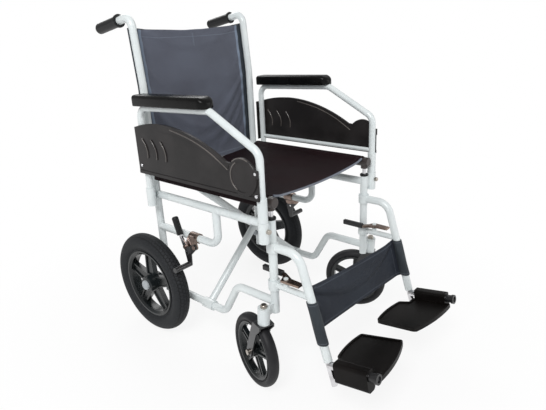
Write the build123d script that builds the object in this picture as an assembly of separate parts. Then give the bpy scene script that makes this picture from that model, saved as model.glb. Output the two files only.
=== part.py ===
from build123d import *
import math
import os

# Folding transport wheelchair, millimetres.
# +Z is up, the chair faces -Y, and the sitter's left is +X.
# The origin is on the floor, midway along, across and under the chair.
# Every paired part is modelled on the left and mirrored to the right.
# The frame is drawn level and then leaned back about the rear axle; casters are drawn level.

# Stance
TILT_DEG = 4.0
CENTRE_SHIFT = -22.0

# Steel tubes
FRAME_R = 11.0
ARM_R = 9.5
BAR_R = 6.0
RUN_GAP = 0.1
BODY_GAP = 0.3

# Side frame
FRAME_X = 214.0
REAR_Y = 285.0
FRONT_Y = -167.0
LOW_RAIL_Z = 120.0
MID_RAIL_Z = 325.0
UPPER_RAIL_Z = 429.0
STEP_RAIL_Z = 220.0
STEP_TOP_Y = -33.0
STEP_FOOT_Y = 25.0
MID_RISER_Y = 30.0
REAR_POST_FOOT_Z = 106.0
POST_FOOT_RISE = 12.0
POST_TOP_Z = 447.0
POST_BORE_R = 9.2
POST_BORE_FOOT_Z = 240.0
RAIL_BEND_R = 34.0

# Back cane and push handle
LEAN_START_Z = 740.0
LEAN_DEG = 5.0
LEAN_RISE = 185.0
CANE_TOP_Z = LEAN_START_Z + LEAN_RISE
HANDLE_DROOP_DEG = 10.0
HANDLE_END_Y = 457.0
CANE_BEND_R = 26.0
LEAN_BEND_R = 150.0

# Push grip
GRIP_R = 15.0
GRIP_LENGTH = 108.0
GRIP_WALL_END = 6.0
GRIP_FLANGE_R = 18.0
GRIP_FLANGE = 5.0
GRIP_END_R = 8.0

# Rear wheel
WHEEL_X = 270.0
WHEEL_R = 157.0
TYRE_WIDTH = 51.0
RIM_R = 106.0
RIM_DEPTH = 12.0
RIM_WIDTH = 38.0
WHEEL_HUB_R = 25.0
WHEEL_HUB_HALF = 26.0
WHEEL_SPOKES = 5
AXLE_R = 6.0
BOSS_R = 14.0
BOSS_INNER = 16.0
BOSS_OUTER = 24.0

# Caster
CASTER_X = 259.0
CASTER_Y = -162.0
CASTER_R = 101.5
CASTER_WIDTH = 30.0
CASTER_RIM_R = 80.0
CASTER_RIM_DEPTH = 9.0
CASTER_HUB_R = 16.0
CASTER_SPOKES = 5
CASTER_TRAIL = 40.0
CASTER_AXLE_R = 4.0
FORK_PLATE = 4.0
FORK_CLEARANCE = 3.0
STEM_R = 6.0
STEM_HOUSING_R = 16.0
STEM_HOUSING_HEIGHT = 46.0
CAP_NUT_R = 9.0
CAP_NUT_HEIGHT = 9.0
SWIVEL_LEFT_DEG = 16.0
SWIVEL_RIGHT_DEG = -18.0

# Armrest
ARM_X = 248.0
ARM_REAR_Y = 266.0
ARM_FRONT_Y = -172.0
ARM_REAR_Z = 690.0
ARM_FRONT_Z = 700.0
ARM_SLOPE_Y = -16.0
ARM_SLOPE_FOOT_Z = 617.0
ARM_BEND_R = 32.0
SOCKET_R = 13.0
FRONT_SOCKET_TOP = 451.0
REAR_SOCKET_TOP = 459.0
SOCKET_HEIGHT = 53.0
LEG_SHORT = 6.0
COLLAR_R = 12.2
COLLAR_HEIGHT = 59.0
LOWER_BAR_Z = 519.0
PAD_LENGTH = 298.0
PAD_WIDTH = 48.0
PAD_HEIGHT = 29.0
PAD_REAR_Y = 268.0
PAD_SADDLE = 3.0
WEB_PLATE = 5.0
LOCK_PIN_R = 2.5
LOCK_KNOB_R = 6.0
LOCK_KNOB_LENGTH = 8.0

# Skirt guard
GUARD_REAR_Y = 279.0
GUARD_FRONT_Y = -178.0
GUARD_FOOT_Z = 507.0
GUARD_REAR_Z = 638.0
GUARD_PEAK_Y = 148.0
GUARD_PEAK_Z = 655.0
GUARD_SLOPE_Y = 8.0
GUARD_SLOPE_Z = 629.0
GUARD_VALLEY_Y = -80.0
GUARD_VALLEY_Z = 589.0
GUARD_PLATE = 3.0
GUARD_RELIEF = 4.0
GUARD_HOOD = 18.0
GUARD_HOOD_REAR_Y = 165.0
GUARD_LIP = 9.0
GUARD_DISC_R = 46.0
GUARD_DISC_Y = -130.0
GUARD_DISC_Z = 559.0
GUARD_DISC_STEP = 9.0
GUARD_RIB_Y = 232.0
GUARD_RIB_PITCH = 40.0
GUARD_RIB_FOOT_Z = 556.0
GUARD_RIB_RISE = 52.0
GUARD_RIB_WIDTH = 4.0
GUARD_RIBS = 3
SCREW_R = 2.0
SCREW_HEAD_R = 4.5

# Cross braces and seat rails
SEAT_RAIL_Z = 490.0
SEAT_RAIL_REAR_Y = 268.0
SEAT_RAIL_FRONT_Y = -157.0
BRACE_FRONT_Y = 93.0
BRACE_GAP = 1.0
BRACE_SLEEVE_R = 15.0
BRACE_SLEEVE_LENGTH = 40.0
BRACE_BOLT_R = 4.0
FITTING_R = 13.5
FITTING_REAR_Y = -140.0
FITTING_FRONT_Y = -182.0
GUIDE_ROD_R = 6.0
GUIDE_ROD_LENGTH = 245.0
FOLD_DEG = 34.0

# Soft parts
SLING_THICK = 4.0
SEAT_SAG = 12.0
SEAT_SLING_FRONT_Y = -165.0
SEAT_SLING_REAR_Y = 262.0
BACK_THICK = 3.0
BACK_INSET = 4.0
BACK_FOOT_Z = 500.0
BACK_DROP = 29.0
BACK_TOP_Z = CANE_TOP_Z - BACK_DROP
STRAP_LEFT_FOOT_Z = 160.0
STRAP_LEFT_TOP_Z = 266.0
STRAP_RIGHT_FOOT_Z = 180.0
STRAP_RIGHT_TOP_Z = 291.0
CUFF_FOOT_Z = 156.0
CUFF_TOP_Z = 262.0
CUFF_WALL = 3.2

# Brake, in the side view (y, z)
BRAKE_CLAMP_Y = 126.0
BRAKE_CLAMP_R = 14.5
BRAKE_CLAMP_WIDTH = 34.0
BRAKE_PLATE = 4.0
BRAKE_PLATE_X = 227.0
LEVER_PIVOT = (146.0, 300.0)
SHOE_PIVOT = (112.0, 304.0)
LEVER_PIN = (140.0, 282.0)
LEVER_DEG = 27.0
SHOE_RATIO = 0.3
GRIP_FOOT = (162.0, 328.0)
GRIP_TOP = (179.0, 377.0)
BRAKE_GRIP_R = 9.5
LEVER_HALF = 5.0
SHOE_R = 8.0
SHOE_REST = (139.0, 246.5)
SHOE_OUTER_X = 290.0
BRAKE_PIN_R = 3.0
BRAKE_GAP = 0.5

# Legrest
HANGER_Z = 374.0
HANGER_CORNER_Y = -248.0
HANGER_FOOT_Z = 112.0
HANGER_RAKE = 0.311
HANGER_BEND_R = 42.0
SADDLE_WALL = 4.5
SADDLE_HEIGHT = 26.0
LOWER_ARM_Z = 270.0
LATCH_PIVOT_Y = -206.0
LATCH_Z = 290.0
LATCH_THICK = 6.0
LATCH_PAD_HEIGHT = 15.0
LATCH_PAD_LENGTH = 56.0
EXTENSION_R = 8.0
EXTENSION_TOP_Z = 205.0
EXTENSION_FOOT_Z = 50.0

# Footplate, drawn about its hinge line: reaches forward of the tube, heights above the hinge
FOOT_PIVOT_Z = 102.0
FOOT_PITCH_DEG = 10.0
FOOT_TOP = -11.0
FOOT_PLATE = 8.0
FOOT_RIM = 3.0
FOOT_RIM_WIDTH = 6.0
FOOT_FRONT = 130.0
FOOT_HEEL = -16.0
FOOT_NOTCH = 17.0
FOOT_NOTCH_X = 174.0
FOOT_BULGE = 5.0
FOOT_TAPER = 14.0
FOOT_CORNER = 30.0
FOOT_INNER_X = 28.0
FOOT_EDGE = 2.5
FOOT_EDGE_TAPER = 14.0
FOOT_HOUSING_REAR = 22.0
FOOT_HOUSING_FRONT = 115.0
FOOT_HOUSING_WIDTH = 30.0
FOOT_HOUSING_TOP = 17.0
FOOT_HOUSING_FOOT = -38.0
FOOT_STUB_FRONT = 138.0
FOOT_STUB_R = 11.0
FOOT_STUB_RING = 2.0
FOOT_STUB_RING_LENGTH = 7.0
FOOT_PIN_R = 7.0

BRACE_REAR_Y = BRACE_FRONT_Y + 2 * FRAME_R + BRACE_GAP
BRACE_CENTRE_Z = (LOW_RAIL_Z + SEAT_RAIL_Z) / 2
PIN_SEAT = 0.05
LOW = (Align.CENTER, Align.CENTER, Align.MIN)

LEVEL = Pos(0, REAR_Y, WHEEL_R) * Rot(TILT_DEG, 0, 0) * Pos(0, -REAR_Y, -WHEEL_R)
STANCE = Pos(0, CENTRE_SHIFT, 0)
LEANED = STANCE * Pos(0, REAR_Y, WHEEL_R) * Rot(-TILT_DEG, 0, 0) * Pos(0, -REAR_Y, -WHEEL_R)


def bent_tube(points, bends, radius):
    """Round bar along straight runs joined by tangent bends."""
    path = FilletPolyline(*points, radius=bends) if bends else Line(*points)
    return sweep(Plane(origin=path @ 0, z_dir=path % 0) * Circle(radius), path=path)


def in_side_plane(x, points):
    """Points (y, z) of a side view placed at the distance x from the chair's middle."""
    return [(x, y, z) for y, z in points]


def rod(start, end, radius):
    """Straight round bar between two points."""
    axis = Vector(*end) - Vector(*start)
    return extrude(Plane(origin=start, z_dir=axis) * Circle(radius), axis.length)


def bar_x(y, z, x0, x1, radius):
    return rod((x0, y, z), (x1, y, z), radius)


def bar_y(x, z, y0, y1, radius):
    return rod((x, y0, z), (x, y1, z), radius)


def bar_z(x, y, z0, z1, radius):
    return rod((x, y, z0), (x, y, z1), radius)


def block(low, high):
    """Box between two opposite corners."""
    size = [b - a for a, b in zip(low, high)]
    return Pos(*low) * Box(*size, align=(Align.MIN, Align.MIN, Align.MIN))


def web(start, end, z0, z1):
    """Upright plate that joins two posts, given by their (x, y)."""
    reach = Vector(end[0] - start[0], end[1] - start[1])
    middle = ((start[0] + end[0]) / 2, (start[1] + end[1]) / 2, (z0 + z1) / 2)
    turn = math.degrees(math.atan2(reach.Y, reach.X))
    return Pos(*middle) * Rot(0, 0, turn) * Box(reach.length, WEB_PLATE, z1 - z0)


def side_profile(x, outline, thickness):
    """Plate in the side view: outline in (y, z), grown outwards from x."""
    return extrude(Plane(origin=(x, 0, 0), x_dir=(0, 1, 0), z_dir=(1, 0, 0)) * outline, thickness)


def cane_y(z):
    """Middle of the back cane at a height above the seat."""
    return REAR_Y + max(0.0, z - LEAN_START_Z) * math.tan(math.radians(LEAN_DEG))


def handle_point(y):
    """Point of the push handle's middle line."""
    drop = (y - cane_y(CANE_TOP_Z)) * math.tan(math.radians(HANDLE_DROOP_DEG))
    return (FRAME_X, y, CANE_TOP_Z - drop)


def hanger_y(z):
    """Middle of the legrest's raked tube at a height."""
    return HANGER_CORNER_Y - (HANGER_Z - z) * HANGER_RAKE


def housing_foot():
    """Underside of the caster housing, above the level floor."""
    return CASTER_R * 2 + FORK_CLEARANCE + FORK_PLATE + BODY_GAP


def front_lift():
    """How much the lean raises the front posts."""
    return (REAR_Y - FRONT_Y) * math.sin(math.radians(TILT_DEG))


def side_frame():
    """One welded side frame with its caster housing, axle boss and armrest sockets."""
    cane = bent_tube(
        in_side_plane(FRAME_X, [
            (REAR_Y, REAR_POST_FOOT_Z),
            (REAR_Y, LEAN_START_Z),
            (cane_y(CANE_TOP_Z), CANE_TOP_Z),
        ]) + [handle_point(HANDLE_END_Y)],
        [LEAN_BEND_R, CANE_BEND_R],
        FRAME_R,
    )
    low_rail = bent_tube(
        in_side_plane(FRAME_X, [
            (REAR_Y, LOW_RAIL_Z),
            (STEP_FOOT_Y, LOW_RAIL_Z),
            (STEP_TOP_Y, STEP_RAIL_Z),
            (FRONT_Y, STEP_RAIL_Z),
        ]),
        [RAIL_BEND_R, RAIL_BEND_R],
        FRAME_R,
    )
    mid_rail = bent_tube(
        in_side_plane(FRAME_X, [
            (REAR_Y, MID_RAIL_Z), (MID_RISER_Y, MID_RAIL_Z), (MID_RISER_Y, UPPER_RAIL_Z),
        ]),
        [RAIL_BEND_R],
        FRAME_R,
    )
    upper_rail = bar_y(FRAME_X, UPPER_RAIL_Z, FRONT_Y, REAR_Y, FRAME_R)
    post = bar_z(FRAME_X, FRONT_Y, housing_foot() + POST_FOOT_RISE - front_lift(), POST_TOP_Z, FRAME_R)
    low = housing_foot()
    top = low + STEM_HOUSING_HEIGHT
    housing = LEVEL * bar_z(CASTER_X, CASTER_Y, low, top, STEM_HOUSING_R)
    housing_web = LEVEL * web((FRAME_X, CASTER_Y), (CASTER_X, CASTER_Y), low + POST_FOOT_RISE + 2, top - 4)
    boss = bar_x(REAR_Y, WHEEL_R, FRAME_X - BOSS_INNER, FRAME_X + BOSS_OUTER, BOSS_R)
    front_socket_foot = FRONT_SOCKET_TOP - SOCKET_HEIGHT
    rear_socket_foot = REAR_SOCKET_TOP - SOCKET_HEIGHT
    front_socket = bar_z(ARM_X, ARM_FRONT_Y, front_socket_foot, FRONT_SOCKET_TOP, SOCKET_R)
    rear_socket = bar_z(ARM_X, ARM_REAR_Y, rear_socket_foot, REAR_SOCKET_TOP, SOCKET_R)
    inset = SOCKET_HEIGHT / 5
    webs = [
        web((FRAME_X, FRONT_Y), (ARM_X, ARM_FRONT_Y), front_socket_foot + inset, FRONT_SOCKET_TOP - inset),
        web((FRAME_X, REAR_Y), (ARM_X, ARM_REAR_Y), rear_socket_foot + inset, REAR_SOCKET_TOP - inset),
    ]
    frame = cane + [low_rail, mid_rail, upper_rail, post, housing, housing_web, boss, front_socket, rear_socket, *webs]
    frame -= bar_z(FRAME_X, FRONT_Y, POST_BORE_FOOT_Z, POST_TOP_Z + 1, POST_BORE_R)
    frame -= LEVEL * bar_z(CASTER_X, CASTER_Y, low - 1, top + 1, STEM_R + RUN_GAP)
    frame -= bar_x(REAR_Y, WHEEL_R, FRAME_X - BOSS_INNER - 1, FRAME_X + BOSS_OUTER + 1, AXLE_R + PIN_SEAT)
    for y, foot, top in (
        (ARM_FRONT_Y, front_socket_foot, FRONT_SOCKET_TOP),
        (ARM_REAR_Y, rear_socket_foot, REAR_SOCKET_TOP),
    ):
        frame -= bar_z(ARM_X, y, foot - 1, top + 1, ARM_R + 2 * RUN_GAP)
    frame -= lock_hole()
    return frame


def lock_height():
    return FRONT_SOCKET_TOP - SOCKET_HEIGHT * 0.4


def lock_hole():
    """Hole through the front socket's wall for the armrest's lock pin."""
    return bar_y(ARM_X, lock_height(), ARM_FRONT_Y - SOCKET_R - 1, ARM_FRONT_Y, LOCK_PIN_R + RUN_GAP)


def armrest_lock():
    """Pull knob whose pin reaches through the socket wall, just short of the leg."""
    tip = ARM_FRONT_Y - ARM_R - BODY_GAP
    neck = ARM_FRONT_Y - SOCKET_R - BODY_GAP
    pin = bar_y(ARM_X, lock_height(), neck - 1, tip, LOCK_PIN_R)
    knob = bar_y(ARM_X, lock_height(), neck - LOCK_KNOB_LENGTH, neck, LOCK_KNOB_R)
    knob = fillet(knob.edges().filter_by(GeomType.CIRCLE).sort_by(Axis.Y)[0], 2)
    return pin + knob


def post_bushing():
    """Plastic plug in the top of the front post, bored for the seat rail's guide rod."""
    flange = bar_z(FRAME_X, FRONT_Y, POST_TOP_Z, POST_TOP_Z + 6, FRAME_R + 1.5)
    plug = bar_z(FRAME_X, FRONT_Y, POST_TOP_Z - 25, POST_TOP_Z, POST_BORE_R - PIN_SEAT)
    flange = chamfer(flange.edges().sort_by(Axis.Z)[-1], 1.5)
    return flange + plug - bar_z(FRAME_X, FRONT_Y, POST_TOP_Z - 30, POST_TOP_Z + 10, GUIDE_ROD_R + RUN_GAP)


def push_grip():
    """Moulded handgrip with a flange and a closed, rounded end."""
    axis_start = Vector(*handle_point(HANDLE_END_Y + GRIP_WALL_END - GRIP_LENGTH))
    axis_end = Vector(*handle_point(HANDLE_END_Y + GRIP_WALL_END))
    length = (axis_end - axis_start).length
    grip = Cylinder(GRIP_R, length, align=LOW)
    grip = fillet(grip.edges().sort_by(Axis.Z)[-1], GRIP_END_R)
    grip += Cylinder(GRIP_FLANGE_R, GRIP_FLANGE, align=LOW)
    grip -= Cylinder(FRAME_R + PIN_SEAT, length - GRIP_WALL_END, align=LOW)
    return Plane(origin=axis_start, x_dir=(1, 0, 0), z_dir=axis_end - axis_start) * grip


def ring_x(section):
    """Solid of revolution about the X axis: the section lies in (x, radius)."""
    return revolve(section, Axis.X)


def tyre(width, outer_r, rim_r):
    """Tyre section with a rounded crown, sitting on its rim."""
    middle = (outer_r + rim_r) / 2
    crown = Pos(0, middle) * Ellipse(width / 2, outer_r - middle)
    seat = Pos(0, (rim_r + middle) / 2) * Rectangle(width * 0.62, middle - rim_r)
    return ring_x(crown + seat - Pos(0, rim_r / 2) * Rectangle(width * 2, rim_r + 2 * PIN_SEAT))


def spoked_wheel(rim_r, rim_depth, rim_width, hub_r, hub_half, spoke_count, spoke, bore_r):
    """Moulded wheel about the X axis: a rim, tapered twin-rib spokes and a hub."""
    root, tip, thick = spoke
    lip = rim_depth * 0.45
    half = rim_width / 2
    section = make_face(Polyline(
        (-half, rim_r),
        (half, rim_r),
        (half, rim_r - lip),
        (half - lip, rim_r - rim_depth),
        (lip - half, rim_r - rim_depth),
        (-half, rim_r - lip),
        close=True,
    ))
    wheel = ring_x(section)
    hub = Rot(0, 90, 0) * Cylinder(hub_r, 2 * hub_half)
    hub = chamfer(hub.edges().filter_by(GeomType.CIRCLE), 2)
    wheel += hub
    inner = hub_r - 3
    outer = rim_r - rim_depth + 2
    blade = make_face(Polyline(
        (inner, -root / 2), (outer, -tip / 2), (outer, tip / 2), (inner, root / 2), close=True,
    ))
    trough = make_face(Polyline(
        (inner + 6, -root / 2 + 5), (outer - 5, -tip / 2 + 5), (outer - 5, tip / 2 - 5), (inner + 6, root / 2 - 5),
        close=True,
    ))
    arm = side_profile(-thick / 2, blade, thick)
    arm -= side_profile(thick / 2 - 4, trough, 5)
    arm -= side_profile(-thick / 2 - 1, trough, 5)
    for i in range(spoke_count):
        wheel += Rot(360 / spoke_count * i + 90, 0, 0) * arm
    return wheel - Rot(0, 90, 0) * Cylinder(bore_r, 2 * hub_half + 2)


def rear_tyre():
    return Pos(WHEEL_X, REAR_Y, WHEEL_R) * tyre(TYRE_WIDTH, WHEEL_R, RIM_R)


def rear_wheel():
    wheel = spoked_wheel(
        RIM_R - PIN_SEAT, RIM_DEPTH, RIM_WIDTH, WHEEL_HUB_R, WHEEL_HUB_HALF,
        WHEEL_SPOKES, (38, 28, 16), AXLE_R + RUN_GAP,
    )
    return Pos(WHEEL_X, REAR_Y, WHEEL_R) * wheel


def rear_axle():
    """Axle bolt with a head inside the frame, a washer and a domed hub cap outside."""
    inner = FRAME_X - BOSS_INNER - BODY_GAP
    outer = WHEEL_X + WHEEL_HUB_HALF + BODY_GAP
    bolt = bar_x(REAR_Y, WHEEL_R, inner - 1, outer + 1, AXLE_R)
    head = bar_x(REAR_Y, WHEEL_R, inner - 7, inner, AXLE_R + 4)
    cap = bar_x(REAR_Y, WHEEL_R, outer, outer + 8, AXLE_R + 9)
    cap = fillet(cap.edges().sort_by(Axis.X)[-1], 5)
    washer_start = FRAME_X + BOSS_OUTER + BODY_GAP
    washer_end = WHEEL_X - WHEEL_HUB_HALF - BODY_GAP
    return bolt + head + cap + bar_x(REAR_Y, WHEEL_R, washer_start, washer_end, AXLE_R + 3)


def caster_place(swivel):
    """Level frame of a caster: the stem's middle line, turned to its parked angle."""
    return Pos(CASTER_X, CASTER_Y, 0) * Rot(0, 0, swivel)


def caster_fork(swivel):
    """Two-armed fork with its swivel stem; the arms sweep back to the axle."""
    crown_top = CASTER_R * 2 + FORK_CLEARANCE + FORK_PLATE
    plate_in = CASTER_WIDTH / 2 + FORK_CLEARANCE
    plate_out = plate_in + FORK_PLATE
    arm = make_face(Polyline(
        (-15, crown_top),
        (19, crown_top),
        (30, crown_top - 26),
        (CASTER_TRAIL + 12, CASTER_R + 6),
        (CASTER_TRAIL + 12, CASTER_R - 11),
        (CASTER_TRAIL - 10, CASTER_R - 11),
        (CASTER_TRAIL - 13, CASTER_R + 4),
        (2, crown_top - 30),
        (-15, crown_top - 10),
        close=True,
    ))
    fork = block((-plate_out, -15, crown_top - FORK_PLATE), (plate_out, 19, crown_top))
    fork += side_profile(plate_in, arm, FORK_PLATE)
    fork += side_profile(-plate_out, arm, FORK_PLATE)
    fork += Pos(0, 0, crown_top - 1) * Cylinder(STEM_R, stem_top() - crown_top + 1, align=LOW)
    fork -= bar_x(CASTER_TRAIL, CASTER_R, -plate_out - 1, plate_out + 1, CASTER_AXLE_R + PIN_SEAT)
    return caster_place(swivel) * fork


def stem_top():
    """Top of the swivel stem, just inside its cap nut."""
    return CASTER_R * 2 + FORK_CLEARANCE + FORK_PLATE + 2 * BODY_GAP + STEM_HOUSING_HEIGHT + 6


def caster_cap_nut(swivel):
    """Domed nut on top of the swivel stem."""
    foot = stem_top() - 6
    nut = Pos(0, 0, foot) * Cylinder(CAP_NUT_R, CAP_NUT_HEIGHT, align=LOW)
    nut = fillet(nut.edges().sort_by(Axis.Z)[-1], 4)
    nut -= Pos(0, 0, foot - 1) * Cylinder(STEM_R + PIN_SEAT, 7.5, align=LOW)
    return caster_place(swivel) * nut


def caster_tyre(swivel):
    return caster_place(swivel) * Pos(0, CASTER_TRAIL, CASTER_R) * tyre(CASTER_WIDTH, CASTER_R, CASTER_RIM_R)


def caster_wheel(swivel):
    wheel = spoked_wheel(
        CASTER_RIM_R - PIN_SEAT, CASTER_RIM_DEPTH, CASTER_WIDTH - 6, CASTER_HUB_R,
        CASTER_WIDTH / 2 + FORK_CLEARANCE - BODY_GAP, CASTER_SPOKES, (20, 18, 12), CASTER_AXLE_R + RUN_GAP,
    )
    return caster_place(swivel) * Pos(0, CASTER_TRAIL, CASTER_R) * wheel


def caster_axle(swivel):
    """Bolt across the fork with a head and a nut."""
    face = CASTER_WIDTH / 2 + FORK_CLEARANCE + FORK_PLATE + PIN_SEAT
    bolt = bar_x(CASTER_TRAIL, CASTER_R, -face - 1, face + 6, CASTER_AXLE_R)
    head = bar_x(CASTER_TRAIL, CASTER_R, -face - 6, -face, CASTER_AXLE_R + 3)
    nut = bar_x(CASTER_TRAIL, CASTER_R, face, face + 6, CASTER_AXLE_R + 3.5)
    return caster_place(swivel) * (bolt + head + nut)


def arm_frame():
    """Bent armrest tube with two plug-in legs, a collar and a lower bar."""
    rear_foot = REAR_SOCKET_TOP - SOCKET_HEIGHT + LEG_SHORT
    front_foot = FRONT_SOCKET_TOP - SOCKET_HEIGHT + LEG_SHORT
    hoop = bent_tube(
        in_side_plane(ARM_X, [
            (ARM_REAR_Y, rear_foot),
            (ARM_REAR_Y, ARM_REAR_Z),
            (ARM_SLOPE_Y, ARM_FRONT_Z),
            (ARM_FRONT_Y, ARM_SLOPE_FOOT_Z),
            (ARM_FRONT_Y, front_foot),
        ]),
        [ARM_BEND_R, ARM_BEND_R, ARM_BEND_R],
        ARM_R,
    )
    collar_foot = FRONT_SOCKET_TOP + BODY_GAP
    collar = bar_z(ARM_X, ARM_FRONT_Y, collar_foot, collar_foot + COLLAR_HEIGHT, COLLAR_R)
    lower_bar = bar_y(ARM_X, LOWER_BAR_Z, ARM_FRONT_Y, ARM_REAR_Y, BAR_R)
    frame = hoop + collar + lower_bar
    for y, z in guard_screw_points():
        frame -= bar_x(y, z, ARM_X, ARM_X + COLLAR_R + 1, SCREW_R + PIN_SEAT)
    return frame


def arm_pad():
    """Moulded pad with round ends, grooved to sit over the top tube."""
    front = ARM_SLOPE_Y
    tilt = math.atan2(ARM_FRONT_Z - ARM_REAR_Z, ARM_REAR_Y - front)
    pad = Box(PAD_WIDTH, PAD_LENGTH, PAD_HEIGHT, align=(Align.CENTER, Align.MAX, Align.MIN))
    pad = fillet(pad.edges().filter_by(Axis.Z), PAD_WIDTH / 2 - 2)
    pad = fillet(pad.faces().sort_by(Axis.Z)[-1].edges(), 9)
    pad = fillet(pad.faces().sort_by(Axis.Z)[0].edges(), 4)
    rise = (ARM_REAR_Y - PAD_REAR_Y) * math.tan(tilt)
    pad = Pos(ARM_X, PAD_REAR_Y, ARM_REAR_Z + rise + ARM_R - PAD_SADDLE) * Rot(-math.degrees(tilt), 0, 0) * pad
    hoop = bent_tube(
        in_side_plane(ARM_X, [
            (ARM_REAR_Y, ARM_REAR_Z - 90),
            (ARM_REAR_Y, ARM_REAR_Z),
            (ARM_SLOPE_Y, ARM_FRONT_Z),
            (ARM_FRONT_Y, ARM_SLOPE_FOOT_Z),
        ]),
        [ARM_BEND_R, ARM_BEND_R],
        ARM_R + PIN_SEAT,
    )
    pad -= hoop
    return pad.solids().sort_by(SortBy.VOLUME)[-1]


def guard_screw_points():
    """Screws of the skirt guard in the side view, front leg first."""
    front = ARM_FRONT_Y + 1
    rear_z = LOWER_BAR_Z + 2 * BAR_R
    return ((front, GUARD_DISC_Z + 3 * SCREW_HEAD_R), (front, LOWER_BAR_Z), (ARM_REAR_Y, rear_z))


def guard_face_x():
    return ARM_X + COLLAR_R + PIN_SEAT


def guard_outline():
    """Side view of the guard: a domed top edge, a valley and a round front boss."""
    front = GUARD_FRONT_Y
    front_z = GUARD_VALLEY_Z - GUARD_HOOD / 2
    top = Spline(
        (GUARD_REAR_Y, GUARD_REAR_Z),
        (GUARD_PEAK_Y, GUARD_PEAK_Z),
        (GUARD_SLOPE_Y, GUARD_SLOPE_Z),
        (GUARD_VALLEY_Y, GUARD_VALLEY_Z),
    )
    edge = Polyline(
        (GUARD_VALLEY_Y, GUARD_VALLEY_Z), (front, front_z), (front, GUARD_FOOT_Z),
        (GUARD_REAR_Y, GUARD_FOOT_Z), (GUARD_REAR_Y, GUARD_REAR_Z),
    )
    return make_face([top, *edge.edges()]) + guard_boss(GUARD_DISC_R)


def guard_boss(radius):
    """Round boss of the guard, cut off in front of the armrest leg."""
    boss = Pos(GUARD_DISC_Y, GUARD_DISC_Z) * Circle(radius)
    return boss - Pos(GUARD_FRONT_Y - 2 * radius, GUARD_DISC_Z) * Rectangle(4 * radius, 4 * radius)


def skirt_guard():
    """Moulded side panel with a hood along its domed edge, curved ribs and a front boss."""
    outline = guard_outline()
    x = guard_face_x()
    relief = GUARD_PLATE - 1 + GUARD_RELIEF
    panel = side_profile(x, outline, GUARD_PLATE)
    kept = Pos(GUARD_HOOD_REAR_Y - GUARD_REAR_Y * 2, GUARD_PEAK_Z) * Rectangle(GUARD_REAR_Y * 4, 2 * GUARD_PEAK_Z)
    hood = (outline - Pos(0, -GUARD_HOOD) * outline - guard_boss(GUARD_DISC_R)) & kept
    panel += side_profile(x + 1, hood, relief)
    lip = outline - Pos(0, GUARD_LIP) * outline
    panel += side_profile(x + 1, lip, GUARD_PLATE - 1 + GUARD_RELIEF / 2)
    disc = side_profile(x + 1, guard_boss(GUARD_DISC_R), relief)
    panel += chamfer(disc.faces().sort_by(Axis.X)[-1].edges(), 1.5)
    dish = side_profile(x + 1 + relief - 1.5, guard_boss(GUARD_DISC_R - GUARD_DISC_STEP), 3)
    panel -= dish
    for i in range(GUARD_RIBS):
        y = GUARD_RIB_Y - i * GUARD_RIB_PITCH
        foot = (y, GUARD_RIB_FOOT_Z)
        tip = (y + GUARD_RIB_RISE / 3, GUARD_RIB_FOOT_Z + GUARD_RIB_RISE)
        strip = trace(SagittaArc(foot, tip, GUARD_RIB_RISE / 6), GUARD_RIB_WIDTH)
        panel += side_profile(x + 1, strip, GUARD_PLATE - 1 + GUARD_RELIEF / 2)
    flange_x = ARM_X - COLLAR_R
    panel += block((flange_x, GUARD_REAR_Y - 1, GUARD_FOOT_Z), (x + GUARD_PLATE, GUARD_REAR_Y + 2, GUARD_REAR_Z))
    for y, z in guard_screw_points():
        panel -= bar_x(y, z, x - 1, x + 20, SCREW_R + PIN_SEAT)
        panel -= bar_x(y, z, x + GUARD_PLATE, x + 20, SCREW_HEAD_R + BODY_GAP)
    return panel


def guard_screws():
    """Pan-head screws that hold the skirt guard."""
    x = guard_face_x() + GUARD_PLATE + PIN_SEAT
    screws = []
    for y, z in guard_screw_points():
        shank = bar_x(y, z, ARM_X + 2, x + 1, SCREW_R)
        head = bar_x(y, z, x, x + 3, SCREW_HEAD_R)
        screws.append(shank + fillet(head.edges().sort_by(Axis.X)[-1], 1.2))
    return screws


def side_hull(*discs):
    """Outline around discs given as (y, z, radius)."""
    edges = [edge for y, z, r in discs for edge in (Pos(y, z) * Circle(r)).edges()]
    return make_hull(edges)


def turned(point, centre, degrees):
    """Point of the side view turned about a centre."""
    angle = math.radians(degrees)
    y = point[0] - centre[0]
    z = point[1] - centre[1]
    return (
        centre[0] + y * math.cos(angle) - z * math.sin(angle),
        centre[1] + y * math.sin(angle) + z * math.cos(angle),
    )


def brake_bracket():
    """Clamp round the middle rail with a plate and the brake's two pivot pins."""
    half = BRAKE_CLAMP_WIDTH / 2
    clamp = bar_y(FRAME_X, MID_RAIL_Z, BRAKE_CLAMP_Y - half, BRAKE_CLAMP_Y + half, BRAKE_CLAMP_R)
    plate = side_hull(
        (*LEVER_PIVOT, 10), (*SHOE_PIVOT, 9), (BRAKE_CLAMP_Y - 8, MID_RAIL_Z, 9), (BRAKE_CLAMP_Y + 8, MID_RAIL_Z, 9),
    )
    bracket = clamp + side_profile(BRAKE_PLATE_X, plate, BRAKE_PLATE)
    bracket -= bar_y(FRAME_X, MID_RAIL_Z, BRAKE_CLAMP_Y - half - 1, BRAKE_CLAMP_Y + half + 1, FRAME_R + PIN_SEAT)
    face = BRAKE_PLATE_X + BRAKE_PLATE
    for point, reach in ((LEVER_PIVOT, lever_x() + BRAKE_PLATE), (SHOE_PIVOT, arm_x() + BRAKE_PLATE)):
        bracket += bar_x(*point, face - 1, reach + BRAKE_GAP + 1, BRAKE_PIN_R)
        bracket += bar_x(*point, reach + BRAKE_GAP, reach + BRAKE_GAP + 3, BRAKE_PIN_R + 3)
    return bracket


def arm_x():
    return BRAKE_PLATE_X + BRAKE_PLATE + BRAKE_GAP


def lever_x():
    return arm_x() + BRAKE_PLATE + BRAKE_GAP


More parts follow.
